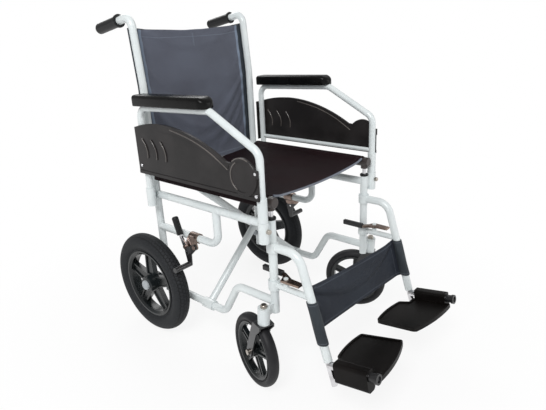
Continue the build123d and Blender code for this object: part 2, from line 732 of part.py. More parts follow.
def brake_lever():
    """Hand lever with a crank pin that pushes the shoe arm."""
    x = lever_x()
    body = side_profile(x, side_hull((*LEVER_PIVOT, 8.5), (*GRIP_FOOT, LEVER_HALF)), BRAKE_PLATE)
    body += side_profile(x, side_hull((*GRIP_FOOT, LEVER_HALF), (*GRIP_TOP, LEVER_HALF)), BRAKE_PLATE)
    body += side_profile(x, side_hull((*LEVER_PIVOT, 8.5), (*LEVER_PIN, 5)), BRAKE_PLATE)
    body += bar_x(*LEVER_PIN, arm_x(), x + 1, BRAKE_PIN_R)
    return body - bar_x(*LEVER_PIVOT, x - 1, x + BRAKE_PLATE + 1, BRAKE_PIN_R + RUN_GAP)


def brake_grip():
    """Plastic sleeve over the upper part of the brake lever."""
    x = lever_x() + BRAKE_PLATE / 2
    reach = math.hypot(GRIP_TOP[0] - GRIP_FOOT[0], GRIP_TOP[1] - GRIP_FOOT[1])
    lean = math.degrees(math.atan2(GRIP_TOP[0] - GRIP_FOOT[0], GRIP_TOP[1] - GRIP_FOOT[1]))
    grip = Pos(0, 0, LEVER_HALF) * Cylinder(BRAKE_GRIP_R, reach + 3, align=LOW)
    grip = fillet(grip.edges().sort_by(Axis.Z)[-1], 6)
    grip = fillet(grip.edges().sort_by(Axis.Z)[0], 2)
    core = Box(BRAKE_PLATE + 2 * PIN_SEAT, 2 * (LEVER_HALF + PIN_SEAT), reach + LEVER_HALF + PIN_SEAT, align=LOW)
    return Pos(x, *GRIP_FOOT) * Rot(-lean, 0, 0) * (grip - core)


def brake_shoe():
    """Shoe arm with a slot for the lever's pin and a shoe bar across the tyre."""
    x = arm_x()
    arm = side_hull((*SHOE_PIVOT, 8), (LEVER_PIN[0] + 2, LEVER_PIN[1], 13))
    arm += side_hull((LEVER_PIN[0] + 2, LEVER_PIN[1], 13), (*SHOE_REST, SHOE_R))
    body = side_profile(x, arm, BRAKE_PLATE)
    body += bar_x(*SHOE_REST, x, SHOE_OUTER_X, SHOE_R)
    body -= bar_x(*SHOE_PIVOT, x - 1, x + BRAKE_PLATE + 1, BRAKE_PIN_R + RUN_GAP)
    steps = 9
    for i in range(steps):
        lever = LEVER_DEG * i / (steps - 1)
        pin = turned(turned(LEVER_PIN, LEVER_PIVOT, lever), SHOE_PIVOT, -lever * SHOE_RATIO)
        body -= bar_x(*pin, x - 1, x + BRAKE_PLATE + 1, BRAKE_PIN_R + 0.4)
        post = turned(LEVER_PIVOT, SHOE_PIVOT, -lever * SHOE_RATIO)
        body -= bar_x(*post, x - 1, x + BRAKE_PLATE + 1, BRAKE_PIN_R + 2 * BODY_GAP)
    return body


def cross_brace(y, sleeve_side):
    """Brace tube from a lower-rail sleeve up to the opposite seat rail, welded to it."""
    low = (-sleeve_side * FRAME_X, y, LOW_RAIL_Z)
    high = (sleeve_side * FRAME_X, y, SEAT_RAIL_Z)
    half = BRACE_SLEEVE_LENGTH / 2
    brace = rod(low, high, FRAME_R)
    brace += bar_y(low[0], LOW_RAIL_Z, y - half, y + half, BRACE_SLEEVE_R)
    brace += bar_y(high[0], SEAT_RAIL_Z, SEAT_RAIL_FRONT_Y, SEAT_RAIL_REAR_Y, FRAME_R)
    return brace - bar_y(low[0], LOW_RAIL_Z, y - half - 1, y + half + 1, FRAME_R + RUN_GAP)


def brace_front():
    brace = cross_brace(BRACE_FRONT_Y, 1)
    return brace - bar_y(0, BRACE_CENTRE_Z, BRACE_FRONT_Y - 20, BRACE_FRONT_Y + 20, BRACE_BOLT_R + RUN_GAP)


def brace_rear():
    brace = cross_brace(BRACE_REAR_Y, -1)
    return brace - bar_y(0, BRACE_CENTRE_Z, BRACE_REAR_Y - 20, BRACE_REAR_Y + 20, BRACE_BOLT_R + PIN_SEAT)


def brace_bolt():
    """Bolt through the crossing of the braces."""
    front = BRACE_FRONT_Y - FRAME_R - BODY_GAP
    rear = BRACE_REAR_Y + FRAME_R + BODY_GAP
    bolt = bar_y(0, BRACE_CENTRE_Z, front - 1, rear + 1, BRACE_BOLT_R)
    bolt += bar_y(0, BRACE_CENTRE_Z, front - 6, front, BRACE_BOLT_R + 4)
    return bolt + bar_y(0, BRACE_CENTRE_Z, rear, rear + 7, BRACE_BOLT_R + 3.5)


def seat_guide():
    """Fitting on the seat rail's front end with a guide rod down into the front post."""
    fitting = bar_y(FRAME_X, SEAT_RAIL_Z, FITTING_FRONT_Y, FITTING_REAR_Y, FITTING_R)
    fitting = chamfer(fitting.edges().filter_by(GeomType.CIRCLE), 1.5)
    fitting += bar_z(FRAME_X, FRONT_Y, SEAT_RAIL_Z - FITTING_R - 6, SEAT_RAIL_Z, FITTING_R - 3)
    fitting += bar_z(FRAME_X, FRONT_Y, SEAT_RAIL_Z - GUIDE_ROD_LENGTH, SEAT_RAIL_Z, GUIDE_ROD_R)
    socket_end = SEAT_RAIL_FRONT_Y - BODY_GAP
    return fitting - bar_y(FRAME_X, SEAT_RAIL_Z, socket_end, FITTING_REAR_Y + 1, FRAME_R + RUN_GAP)


def legrest_hanger():
    """Swing-away hanger: a saddle and a lower arm on the front post, and a raked tube."""
    tube = bent_tube(
        in_side_plane(FRAME_X, [
            (FRONT_Y - FRAME_R - 2, HANGER_Z), (HANGER_CORNER_Y, HANGER_Z), (hanger_y(HANGER_FOOT_Z), HANGER_FOOT_Z),
        ]),
        [HANGER_BEND_R],
        FRAME_R,
    )
    ring_r = FRAME_R + SADDLE_WALL
    half = SADDLE_HEIGHT / 2
    saddle = bar_z(FRAME_X, FRONT_Y, HANGER_Z - half, HANGER_Z + half, ring_r)
    lower = bar_z(FRAME_X, FRONT_Y, LOWER_ARM_Z - half, LOWER_ARM_Z + half, ring_r)
    arm = bar_y(FRAME_X, LOWER_ARM_Z, hanger_y(LOWER_ARM_Z), FRONT_Y - FRAME_R - 2, FRAME_R - 3)
    pin_z = LATCH_Z + LATCH_THICK + BODY_GAP
    pin = bar_z(FRAME_X, LATCH_PIVOT_Y, LOWER_ARM_Z, pin_z + 1, BRAKE_PIN_R)
    pin += bar_z(FRAME_X, LATCH_PIVOT_Y, LOWER_ARM_Z, LATCH_Z - BODY_GAP, BRAKE_PIN_R + 4)
    pin += bar_z(FRAME_X, LATCH_PIVOT_Y, pin_z, pin_z + 3, BRAKE_PIN_R + 3)
    hanger = tube + saddle + lower + arm + pin
    hanger -= bar_z(FRAME_X, FRONT_Y, LOWER_ARM_Z - 40, HANGER_Z + 40, FRAME_R + RUN_GAP)
    bore_top = EXTENSION_TOP_Z + 6
    bore = rod(
        (FRAME_X, hanger_y(bore_top), bore_top),
        (FRAME_X, hanger_y(HANGER_FOOT_Z - 12), HANGER_FOOT_Z - 12),
        EXTENSION_R + RUN_GAP,
    )
    return hanger - bore


def legrest_latch():
    """Latch plate on the lower arm with a thumb lever that reaches back inside the post."""
    near = FRAME_X - FRAME_R - SADDLE_WALL - 2
    far = near - 10
    plan = Polyline(
        (FRAME_X + 10, LATCH_PIVOT_Y - 46),
        (FRAME_X + 12, LATCH_PIVOT_Y + 8),
        (FRAME_X - 6, LATCH_PIVOT_Y + 15),
        (near, FRONT_Y - 10),
        (near, FRONT_Y + LATCH_PAD_LENGTH - 10),
        (far, FRONT_Y + LATCH_PAD_LENGTH - 10),
        (far, FRONT_Y - 16),
        (FRAME_X - 10, LATCH_PIVOT_Y - 10),
        (FRAME_X - 8, LATCH_PIVOT_Y - 46),
        close=True,
    )
    lever = extrude(Plane.XY.offset(LATCH_Z) * make_face(plan), LATCH_THICK)
    pad = block(
        (far - 2, FRONT_Y - 12, LATCH_Z - 4),
        (near, FRONT_Y + LATCH_PAD_LENGTH, LATCH_Z - 4 + LATCH_PAD_HEIGHT),
    )
    lever += fillet(pad.edges(), 3)
    return lever - bar_z(FRAME_X, LATCH_PIVOT_Y, LATCH_Z - 1, LATCH_Z + LATCH_THICK + 1, BRAKE_PIN_R + RUN_GAP)


def foot_place():
    """Hinge line of a footplate: its origin is on the leg tube and its Y points back along the pin."""
    return Pos(FRAME_X, hanger_y(FOOT_PIVOT_Z), FOOT_PIVOT_Z) * Rot(-FOOT_PITCH_DEG, 0, 0)


def footrest_tube():
    """Height-adjusting tube with the footplate's hinge pin and its ringed end."""
    tube = rod(
        (FRAME_X, hanger_y(EXTENSION_TOP_Z), EXTENSION_TOP_Z),
        (FRAME_X, hanger_y(EXTENSION_FOOT_Z), EXTENSION_FOOT_Z),
        EXTENSION_R,
    )
    face = -FOOT_HOUSING_FRONT - BODY_GAP
    ring = -FOOT_STUB_FRONT + FOOT_STUB_RING_LENGTH
    hinge = bar_y(0, 0, face - 1, 0, FOOT_PIN_R)
    hinge += bar_y(0, 0, -FOOT_HOUSING_REAR + BODY_GAP, 0, FOOT_PIN_R + 3)
    hinge += bar_y(0, 0, ring - 1, face, FOOT_STUB_R)
    hinge += bar_y(0, 0, -FOOT_STUB_FRONT, ring, FOOT_STUB_R + FOOT_STUB_RING)
    hinge -= bar_y(0, 0, -FOOT_STUB_FRONT - 1, -FOOT_STUB_FRONT + 3, FOOT_STUB_R - 3)
    return tube + foot_place() * hinge


def foot_outline():
    """Footplate seen from above, about the hinge line: inboard is -X and forward is -Y."""
    outer = -FOOT_HOUSING_WIDTH / 2 + 1
    inner = FOOT_INNER_X - FRAME_X
    notch = FOOT_NOTCH_X - FRAME_X
    front_corner = (inner, FOOT_CORNER - FOOT_FRONT)
    heel_corner = (inner + FOOT_TAPER, -FOOT_HEEL)
    notch_corner = (notch - FOOT_NOTCH / 2, -FOOT_HEEL - FOOT_BULGE)
    front = ThreePointArc(front_corner, ((inner + outer) / 2, FOOT_BULGE - FOOT_FRONT), (outer, -FOOT_FRONT))
    side = Polyline((outer, -FOOT_FRONT), (outer, -FOOT_NOTCH), (notch, -FOOT_NOTCH), notch_corner)
    heel = ThreePointArc(notch_corner, ((inner + notch) / 2, -FOOT_HEEL + FOOT_BULGE), heel_corner)
    return make_face([front, *side.edges(), heel, Line(heel_corner, front_corner)])


def foot_underside_taper():
    """Wedge off the underside of the inner edge, which lets the two plates pass when the chair folds."""
    inner = FOOT_INNER_X - FRAME_X
    foot = FOOT_TOP - FOOT_PLATE - 1
    wedge = Polyline((inner - 2, FOOT_TOP - FOOT_EDGE), (inner - 2, foot), (inner + FOOT_EDGE_TAPER, foot), close=True)
    return extrude(Plane.XZ * make_face(wedge), 2 * FOOT_FRONT, both=True)


def footplate():
    """Moulded footplate with a raised rim, a curved front, a notch for the tube and a hinge housing."""
    outline = foot_outline()
    corners = outline.vertices().filter_by(lambda v: v.X < FOOT_NOTCH_X - FRAME_X - 1)
    outline = fillet(corners, FOOT_RIM_WIDTH + 2)
    plate = extrude(Plane.XY.offset(FOOT_TOP - FOOT_PLATE) * outline, FOOT_PLATE + FOOT_RIM, dir=(0, 0, 1))
    inside = offset(outline, -FOOT_RIM_WIDTH)
    plate -= extrude(Plane.XY.offset(FOOT_TOP) * inside, FOOT_RIM + 1, dir=(0, 0, 1))
    plate -= foot_underside_taper()
    half = FOOT_HOUSING_WIDTH / 2
    housing = block(
        (-half, -FOOT_HOUSING_FRONT, FOOT_HOUSING_FOOT), (half, -FOOT_HOUSING_REAR, FOOT_HOUSING_TOP),
    )
    plate += fillet(housing.edges().filter_by(Axis.Y), 9)
    plate -= bar_y(0, 0, -FOOT_HOUSING_FRONT - 1, -FOOT_HOUSING_REAR + 1, FOOT_PIN_R + RUN_GAP)
    return foot_place() * plate


def sling_section(points, thickness):
    """Sheet section through the given points, grown to one side."""
    upper = [Vector(a, b) for a, b in points]
    lower = []
    for i, p in enumerate(upper):
        before = upper[max(i - 1, 0)]
        after = upper[min(i + 1, len(upper) - 1)]
        along = (after - before).normalized()
        lower.append(p + Vector(-along.Y, along.X) * thickness)
    return make_face(Polyline(*upper, *reversed(lower), close=True))


def seat_sling():
    """Seat fabric over both seat rails, sagging in the middle."""
    side = FRAME_X + FITTING_R + 1.0
    rail_top = SEAT_RAIL_Z + FITTING_R + 1.0
    right = [(-side, SEAT_RAIL_Z - 6), (-side, SEAT_RAIL_Z + 6), (-side + 4, rail_top - 3), (-side + 10, rail_top)]
    steps = 8
    span = FRAME_X
    middle = [
        (span * (2 * i / steps - 1), rail_top - SEAT_SAG * (1 - (2 * i / steps - 1) ** 2)) for i in range(steps + 1)
    ]
    left = [(-x, z) for x, z in reversed(right)]
    section = sling_section(right + middle + left, SLING_THICK)
    plane = Plane(origin=(0, SEAT_SLING_REAR_Y, 0), x_dir=(1, 0, 0), z_dir=(0, -1, 0))
    return extrude(plane * section, SEAT_SLING_REAR_Y - SEAT_SLING_FRONT_Y)


def back_sling():
    """Back fabric: a panel behind the canes whose edges curl round their outer sides."""
    path = FilletPolyline(
        (0, REAR_Y, BACK_FOOT_Z),
        (0, REAR_Y, LEAN_START_Z),
        (0, cane_y(BACK_TOP_Z), BACK_TOP_Z),
        radius=LEAN_BEND_R,
    )
    reach = FRAME_R + BODY_GAP
    points = []
    for i in range(5):
        angle = math.radians(10 + 20 * i)
        points.append((-FRAME_X - reach * math.cos(angle), reach * math.sin(angle)))
    inset = FRAME_X - 2.2 * FRAME_R
    points += [(-inset, reach - BACK_INSET), (0, reach - BACK_INSET - 1)]
    points += [(-x, y) for x, y in reversed(points[:-1])]
    section = sling_section(points, BACK_THICK)
    return sweep(Plane(origin=path @ 0, x_dir=(1, 0, 0), z_dir=(0, 0, 1)) * section, path=path)


def strap_plane(z):
    """Plane square to the legrest tubes at a height, with X across the chair."""
    return Plane(origin=(0, hanger_y(z), z), x_dir=(1, 0, 0), z_dir=(0, HANGER_RAKE, 1))


def cuff(side):
    inner = FRAME_R + BODY_GAP
    rake = math.hypot(1, HANGER_RAKE)
    ring = Pos(side * FRAME_X, 0) * (Circle(inner + CUFF_WALL) - Circle(inner))
    return extrude(strap_plane(CUFF_FOOT_Z) * ring, (CUFF_TOP_Z - CUFF_FOOT_Z) * rake)


def calf_strap():
    """Calf panel between the legrests with its sleeve round the left tube."""
    rake = math.hypot(1, HANGER_RAKE)
    left = FRAME_X - FRAME_R - 2
    right = -(FRAME_X - FRAME_R - BODY_GAP - CUFF_WALL - 1)
    corners = [
        (x, (z - CUFF_FOOT_Z) * rake)
        for x, z in (
            (right, STRAP_RIGHT_FOOT_Z), (left, STRAP_LEFT_FOOT_Z), (left, STRAP_LEFT_TOP_Z), (right, STRAP_RIGHT_TOP_Z),
        )
    ]
    behind = strap_plane(CUFF_FOOT_Z).y_dir
    plane = Plane(origin=(0, hanger_y(CUFF_FOOT_Z), CUFF_FOOT_Z), x_dir=(1, 0, 0), z_dir=behind * -1)
    panel = extrude(plane * make_face(Polyline(*corners, close=True)), SLING_THICK / 2, both=True)
    return cuff(1) + panel.moved(Location(behind * (SLING_THICK / 2 + 1)))


def calf_cuff():
    """Separate cuff on the right legrest tube, where the calf strap fastens."""
    return cuff(-1)


def save(shapes, name, place):
    """Write one node as STEP: one solid, or a group of separate solids."""
    solids = shapes if isinstance(shapes, list) else [shapes]
    solids = [place * solid for shape in solids for solid in shape.solids()]
    shape = solids[0] if len(solids) == 1 else Compound(children=solids)
    export_step(shape, os.path.join("parts", name + ".step"))


def save_pair(name, place, left, right=None):
    """Write the left piece, and its mirror image or its own right piece."""
    right = left if right is None else right
    save(left, name + "_left", place)
    pieces = right if isinstance(right, list) else [right]
    save([mirror(piece, about=Plane.YZ) for piece in pieces], name + "_right", place)


os.makedirs("parts", exist_ok=True)
for maker in (
    side_frame, push_grip, post_bushing, rear_tyre, rear_wheel, rear_axle, arm_frame, arm_pad, skirt_guard,
    guard_screws, armrest_lock, brake_bracket, brake_lever, brake_grip, brake_shoe, seat_guide,
    legrest_hanger, legrest_latch, footrest_tube, footplate,
):
    save_pair(maker.__name__, LEANED, maker())
for maker in (caster_fork, caster_cap_nut, caster_axle, caster_tyre, caster_wheel):
    save_pair(maker.__name__, STANCE, maker(SWIVEL_LEFT_DEG), maker(-SWIVEL_RIGHT_DEG))
for maker in (brace_front, brace_rear, brace_bolt, seat_sling, back_sling, calf_strap, calf_cuff):
    save(maker(), maker.__name__, LEANED)
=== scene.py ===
"""Looks of a folding transport wheelchair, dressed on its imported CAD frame.

Metres. +Z is up, the chair faces -Y and the sitter's left is +X.
"""

from __future__ import annotations

import logging
import math
from dataclasses import dataclass
from enum import Enum
from typing import Callable, Iterable, Sequence

import bpy
from mathutils import Matrix, Vector

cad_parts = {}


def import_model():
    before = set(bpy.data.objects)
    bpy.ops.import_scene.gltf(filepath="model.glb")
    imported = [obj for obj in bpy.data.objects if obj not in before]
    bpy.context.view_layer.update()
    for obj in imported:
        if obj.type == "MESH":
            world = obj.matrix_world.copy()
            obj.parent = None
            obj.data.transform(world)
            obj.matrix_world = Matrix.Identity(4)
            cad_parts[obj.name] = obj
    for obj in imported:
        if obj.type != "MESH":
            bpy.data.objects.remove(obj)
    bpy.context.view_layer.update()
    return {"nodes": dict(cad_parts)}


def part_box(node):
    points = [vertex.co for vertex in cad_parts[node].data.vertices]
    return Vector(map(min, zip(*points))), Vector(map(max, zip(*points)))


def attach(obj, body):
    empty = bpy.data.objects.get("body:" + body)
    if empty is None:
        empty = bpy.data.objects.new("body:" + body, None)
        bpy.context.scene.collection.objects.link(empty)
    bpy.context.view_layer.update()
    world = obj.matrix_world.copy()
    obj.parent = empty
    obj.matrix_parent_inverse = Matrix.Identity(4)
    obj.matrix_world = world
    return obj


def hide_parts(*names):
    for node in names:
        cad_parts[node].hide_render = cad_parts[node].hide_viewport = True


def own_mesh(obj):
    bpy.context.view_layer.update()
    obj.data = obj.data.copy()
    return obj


log = logging.getLogger("wheelchair")

Colour = tuple[float, float, float]
Point = tuple[float, float, float]
Line = Sequence[tuple[float, float]]
Socket = bpy.types.NodeSocket
Material = bpy.types.Material
Piece = bpy.types.Object


class Side(Enum):
    """The sitter's sides, with the sign of X."""

    LEFT = 1
    RIGHT = -1

    @property
    def word(self) -> str:
        """The side as it stands in node and body names."""
        return self.name.lower()


@dataclass(frozen=True)
class Stance:
    """How the chair stands: drawn level, its frame leans back about the rear axle."""

    lean: float = math.radians(4.0)
    axle_y: float = 0.285
    axle_z: float = 0.157
    shift: float = -0.022

    def matrix(self) -> Matrix:
        """The move from the level drawing to the standing chair."""
        axle = Matrix.Translation((0.0, self.axle_y, self.axle_z))
        lean = axle @ Matrix.Rotation(-self.lean, 4, "X") @ axle.inverted()
        return Matrix.Translation((0.0, self.shift, 0.0)) @ lean

    def point(self, x: float, y: float, z: float) -> Point:
        """A point of the level drawing on the standing chair."""
        return tuple(self.matrix() @ Vector((x, y, z)))

    def stand(self, piece: Piece) -> None:
        """Lean a finished piece, drawn level, back with the frame."""
        piece.data.transform(self.matrix())
        piece.data.update()


STANCE = Stance()
GUARD_DEPTH = 0.007
BACK_FLAT = (0.428, 0.418)
SEAT_FLAT = (0.428, 0.431)
STRAP_FLAT = (0.426, 0.108)
SLEEVE_FLAT = (0.084, 0.106)


@dataclass(frozen=True)
class Seam:
    """A row of stitches on a cloth, straight along or across it.

    Places are in metres from the cloth's right foot corner. An upright seam runs up the
    cloth at a distance across it, and a level one runs across at a height.
    """

    upright: bool
    at: float
    start: float
    end: float
    pitch: float = 0.0042
    width: float = 0.0011


class NodeBoard:
    """Adds shader nodes to one material and wires them."""

    def __init__(self, name: str) -> None:
        """Start a material with a plain principled shader.

        Args:
            name: the material's name.
        """
        self.material = bpy.data.materials.new(name)
        self.material.use_nodes = True
        self.tree = self.material.node_tree
        self.shader = self.tree.nodes["Principled BSDF"]

    def add(self, kind: str, **settings: object) -> bpy.types.Node:
        """Add a node.

        Args:
            kind: Blender's node type.
            **settings: attributes set on the node.

        Returns:
            The new node.
        """
        node = self.tree.nodes.new(kind)
        for key, value in settings.items():
            setattr(node, key, value)
        return node

    def wire(self, source: Socket, target: Socket) -> None:
        """Join an output to an input."""
        self.tree.links.new(source, target)

    def place(self, centre: Point = (0.0, 0.0, 0.0)) -> Socket:
        """Give object coordinates measured from a point.

        Args:
            centre: the point that becomes the pattern's origin.

        Returns:
            The vector socket.
        """
        coordinate = self.add("ShaderNodeTexCoord")
        mapping = self.add("ShaderNodeMapping")
        mapping.inputs["Location"].default_value = [-c for c in centre]
        self.wire(coordinate.outputs["Object"], mapping.inputs["Vector"])
        return mapping.outputs["Vector"]

    def laid(self, size: tuple[float, float]) -> Socket:
        """Give a cloth's own coordinates in metres.

        Args:
            size: the cloth's flat width and height, which its UV map spans.

        Returns:
            The vector socket.
        """
        coordinate = self.add("ShaderNodeTexCoord")
        scaled = self.add("ShaderNodeMapping")
        scaled.inputs["Scale"].default_value = (*size, 1.0)
        self.wire(coordinate.outputs["UV"], scaled.inputs["Vector"])
        return scaled.outputs["Vector"]

    def stitches(self, across: Socket, along: Socket, seam: Seam) -> Socket:
        """Mask a row of stitches, 1 on the thread and 0 off it."""
        over, run = (across, along) if seam.upright else (along, across)
        off = self.math("ABSOLUTE", self.math("SUBTRACT", over, seam.at))
        near = self.math("LESS_THAN", off, seam.width)
        after = self.math("GREATER_THAN", run, seam.start)
        before = self.math("LESS_THAN", run, seam.end)
        dash = self.math("LESS_THAN", self.math("FRACT", self.math("DIVIDE", run, seam.pitch)), 0.72)
        return self.math("MULTIPLY", self.math("MULTIPLY", near, dash), self.math("MULTIPLY", after, before))

    def noise(self, place: Socket, scale: float, detail: float = 4.0) -> Socket:
        """Add noise and return its value socket."""
        node = self.add("ShaderNodeTexNoise")
        node.inputs["Scale"].default_value = scale
        node.inputs["Detail"].default_value = detail
        self.wire(place, node.inputs["Vector"])
        return node.outputs["Fac"]

    def span(self, value: Socket, low: float, high: float,
             start: float = 0.0, end: float = 1.0) -> Socket:
        """Map a value from start..end to low..high."""
        node = self.add("ShaderNodeMapRange")
        node.inputs["From Min"].default_value = start
        node.inputs["From Max"].default_value = end
        node.inputs["To Min"].default_value = low
        node.inputs["To Max"].default_value = high
        self.wire(value, node.inputs["Value"])
        return node.outputs["Result"]

    def math(self, operation: str, first: Socket,
             second: Socket | float = 0.0) -> Socket:
        """Combine one or two values."""
        node = self.add("ShaderNodeMath", operation=operation)
        self.wire(first, node.inputs[0])
        if isinstance(second, float):
            node.inputs[1].default_value = second
        else:
            self.wire(second, node.inputs[1])
        return node.outputs[0]

    def colours(self, value: Socket, dark: Colour, light: Colour) -> Socket:
        """Turn a value into a colour between two colours."""
        node = self.add("ShaderNodeMix", data_type="RGBA")
        node.inputs["A"].default_value = (*dark, 1.0)
        node.inputs["B"].default_value = (*light, 1.0)
        self.wire(value, node.inputs["Factor"])
        return node.outputs["Result"]

    def cover(self, mask: Socket, under: Socket, over: Colour) -> Socket:
        """Lay a plain colour over another one where a mask is 1."""
        node = self.add("ShaderNodeMix", data_type="RGBA")
        self.wire(mask, node.inputs["Factor"])
        self.wire(under, node.inputs["A"])
        node.inputs["B"].default_value = (*over, 1.0)
        return node.outputs["Result"]

    def bump(self, height: Socket, strength: float, distance: float,
             under: Socket | None = None) -> Socket:
        """Add a bump layer and return its normal socket."""
        node = self.add("ShaderNodeBump")
        node.inputs["Strength"].default_value = strength
        node.inputs["Distance"].default_value = distance
        self.wire(height, node.inputs["Height"])
        if under is not None:
            self.wire(under, node.inputs["Normal"])
        return node.outputs["Normal"]

    def finish(self, colour: Socket | None = None, rough: Socket | None = None,
               normal: Socket | None = None, **sockets: float) -> Material:
        """Wire the shader and set its plain sockets.

        Args:
            colour: base colour socket.
            rough: roughness socket.
            normal: normal socket.
            **sockets: shader inputs by name, with underscores for spaces.

        Returns:
            The finished material.
        """
        if colour is not None:
            self.wire(colour, self.shader.inputs["Base Color"])
        if rough is not None:
            self.wire(rough, self.shader.inputs["Roughness"])
        if normal is not None:
            self.wire(normal, self.shader.inputs["Normal"])
        for key, value in sockets.items():
            self.shader.inputs[key.replace("_", " ")].default_value = value
        return self.material


@dataclass(frozen=True)
class PowderCoat:
    """Baked powder paint on tube: glossy, with a faint orange peel."""

    name: str
    colour: Colour
    shade: Colour
    gloss: float = 0.26

    def build(self) -> Material:
        """Make the material."""
        board = NodeBoard(self.name)
        place = board.place()
        cloud = board.noise(place, 9.0)
        peel = board.noise(place, 620.0, 2.0)
        colour = board.colours(board.span(cloud, 0.0, 1.0, 0.3, 0.7), self.shade, self.colour)
        rough = board.span(cloud, self.gloss - 0.05, self.gloss + 0.08)
        return board.finish(colour, rough, board.bump(peel, 0.12, 0.0004),
                            Coat_Weight=0.25, Coat_Roughness=0.12)


@dataclass(frozen=True)
class MouldedPlastic:
    """Moulded plastic with a fine spark-eroded grain and handling marks; on the guard trim the lighter marks
    are part of a painted highlight.
    """

    name: str
    colour: Colour
    worn_and_highlight: Colour
    gloss: float
    grain: float = 900.0
    depth: float = 0.25
    shine: float = 0.25

    def build(self) -> Material:
        """Make the material."""
        board = NodeBoard(self.name)
        place = board.place()
        grain = board.noise(place, self.grain, 3.0)
        smear = board.noise(place, 14.0, 6.0)
        colour = board.colours(board.span(smear, 0.0, 1.0, 0.4, 0.75), self.colour, self.worn_and_highlight)
        rough = board.span(smear, self.gloss - 0.06, self.gloss + 0.12)
        return board.finish(colour, rough, board.bump(grain, self.depth, 0.0004),
                            Specular_IOR_Level=self.shine)


@dataclass(frozen=True)
class PlatedSteel:
    """Zinc or chrome plate with a brushed or cloudy reflection."""

    name: str
    colour: Colour
    shade: Colour
    gloss: float

    def build(self) -> Material:
        """Make the material."""
        board = NodeBoard(self.name)
        place = board.place()
        cloud = board.noise(place, 60.0, 5.0)
        colour = board.colours(board.span(cloud, 0.0, 1.0, 0.35, 0.7), self.shade, self.colour)
        rough = board.span(cloud, self.gloss, self.gloss + 0.15)
        fine = board.noise(place, 500.0, 3.0)
        return board.finish(colour, rough, board.bump(fine, 0.08, 0.0003), Metallic=1.0)


@dataclass(frozen=True)
class TyreRubber:
    """Rubber with tread blocks round the crown of a wheel that turns about X, and painted shade in the
    grooves between the blocks.
    """

    name: str
    colour: Colour
    dust: Colour
    axle: Point
    radius: float
    blocks: int
    tread: float

    def build(self) -> Material:
        """Make the material."""
        board = NodeBoard(self.name)
        place = board.place(self.axle)
        split = board.add("ShaderNodeSeparateXYZ")
        board.wire(place, split.inputs[0])
        x, y, z = split.outputs
        angle = board.math("ARCTAN2", z, y)
        along = board.math("MULTIPLY", angle, self.blocks / (2 * math.pi))
        across = board.math("MULTIPLY", x, 1.0 / self.tread)
        joined = board.add("ShaderNodeCombineXYZ")
        board.wire(along, joined.inputs[0])
        board.wire(across, joined.inputs[1])
        brick = board.add("ShaderNodeTexBrick")
        brick.inputs["Scale"].default_value = 1.0
        brick.inputs["Mortar Size"].default_value = 0.09
        brick.inputs["Mortar Smooth"].default_value = 0.4
        brick.inputs["Brick Width"].default_value = 1.0
        brick.inputs["Row Height"].default_value = 1.0
        board.wire(joined.outputs[0], brick.inputs["Vector"])
        squares = [board.math("MULTIPLY", way, way) for way in (y, z)]
        reach = board.math("SQRT", board.math("ADD", *squares))
        crown = board.span(reach, 0.0, 1.0, self.radius * 0.925, self.radius * 0.955)
        groove = board.math("MULTIPLY", brick.outputs["Fac"], crown)
        speck = board.noise(place, 350.0, 4.0)
        dusty = board.colours(board.span(speck, 0.0, 1.0, 0.35, 0.8), self.colour, self.dust)
        # The grooves, which are only a bump, are painted darker: painted shade in the tread recesses.
        dark = board.cover(groove, dusty, (0.006, 0.006, 0.007))
        under = board.bump(speck, 0.25, 0.0005)
        height = board.math("SUBTRACT", board.span(reach, 0.0, 0.0), groove)
        normal = board.bump(height, 0.9, 0.002, under)
        rough = board.span(speck, 0.55, 0.8)
        return board.finish(dark, rough, normal, Specular_IOR_Level=0.25)


@dataclass(frozen=True)
class TwoPart:
    """A metal piece with a moulded end beyond a plane."""

    name: str
    metal: Colour
    shade: Colour
    moulded: Colour
    point: Point
    beyond: Point
    gloss: float = 0.2

    def build(self) -> Material:
        """Make the material."""
        board = NodeBoard(self.name)
        place = board.place(self.point)
        dot = board.add("ShaderNodeVectorMath", operation="DOT_PRODUCT")
        dot.inputs[1].default_value = self.beyond
        board.wire(place, dot.inputs[0])
        plastic = board.math("GREATER_THAN", dot.outputs["Value"], 0.0)
        cloud = board.noise(place, 60.0, 5.0)
        plate = board.colours(board.span(cloud, 0.0, 1.0, 0.35, 0.7), self.shade, self.metal)
        colour = board.cover(plastic, plate, self.moulded)
        bright = board.math("SUBTRACT", board.span(plastic, 1.0, 1.0), plastic)
        board.wire(bright, board.shader.inputs["Metallic"])
        plate_rough = board.span(cloud, self.gloss, self.gloss + 0.14)
        rough = board.math("ADD", plate_rough, board.span(plastic, 0.0, 0.15))
        fine = board.noise(place, 600.0, 3.0)
        return board.finish(colour, rough, board.bump(fine, 0.1, 0.0003))


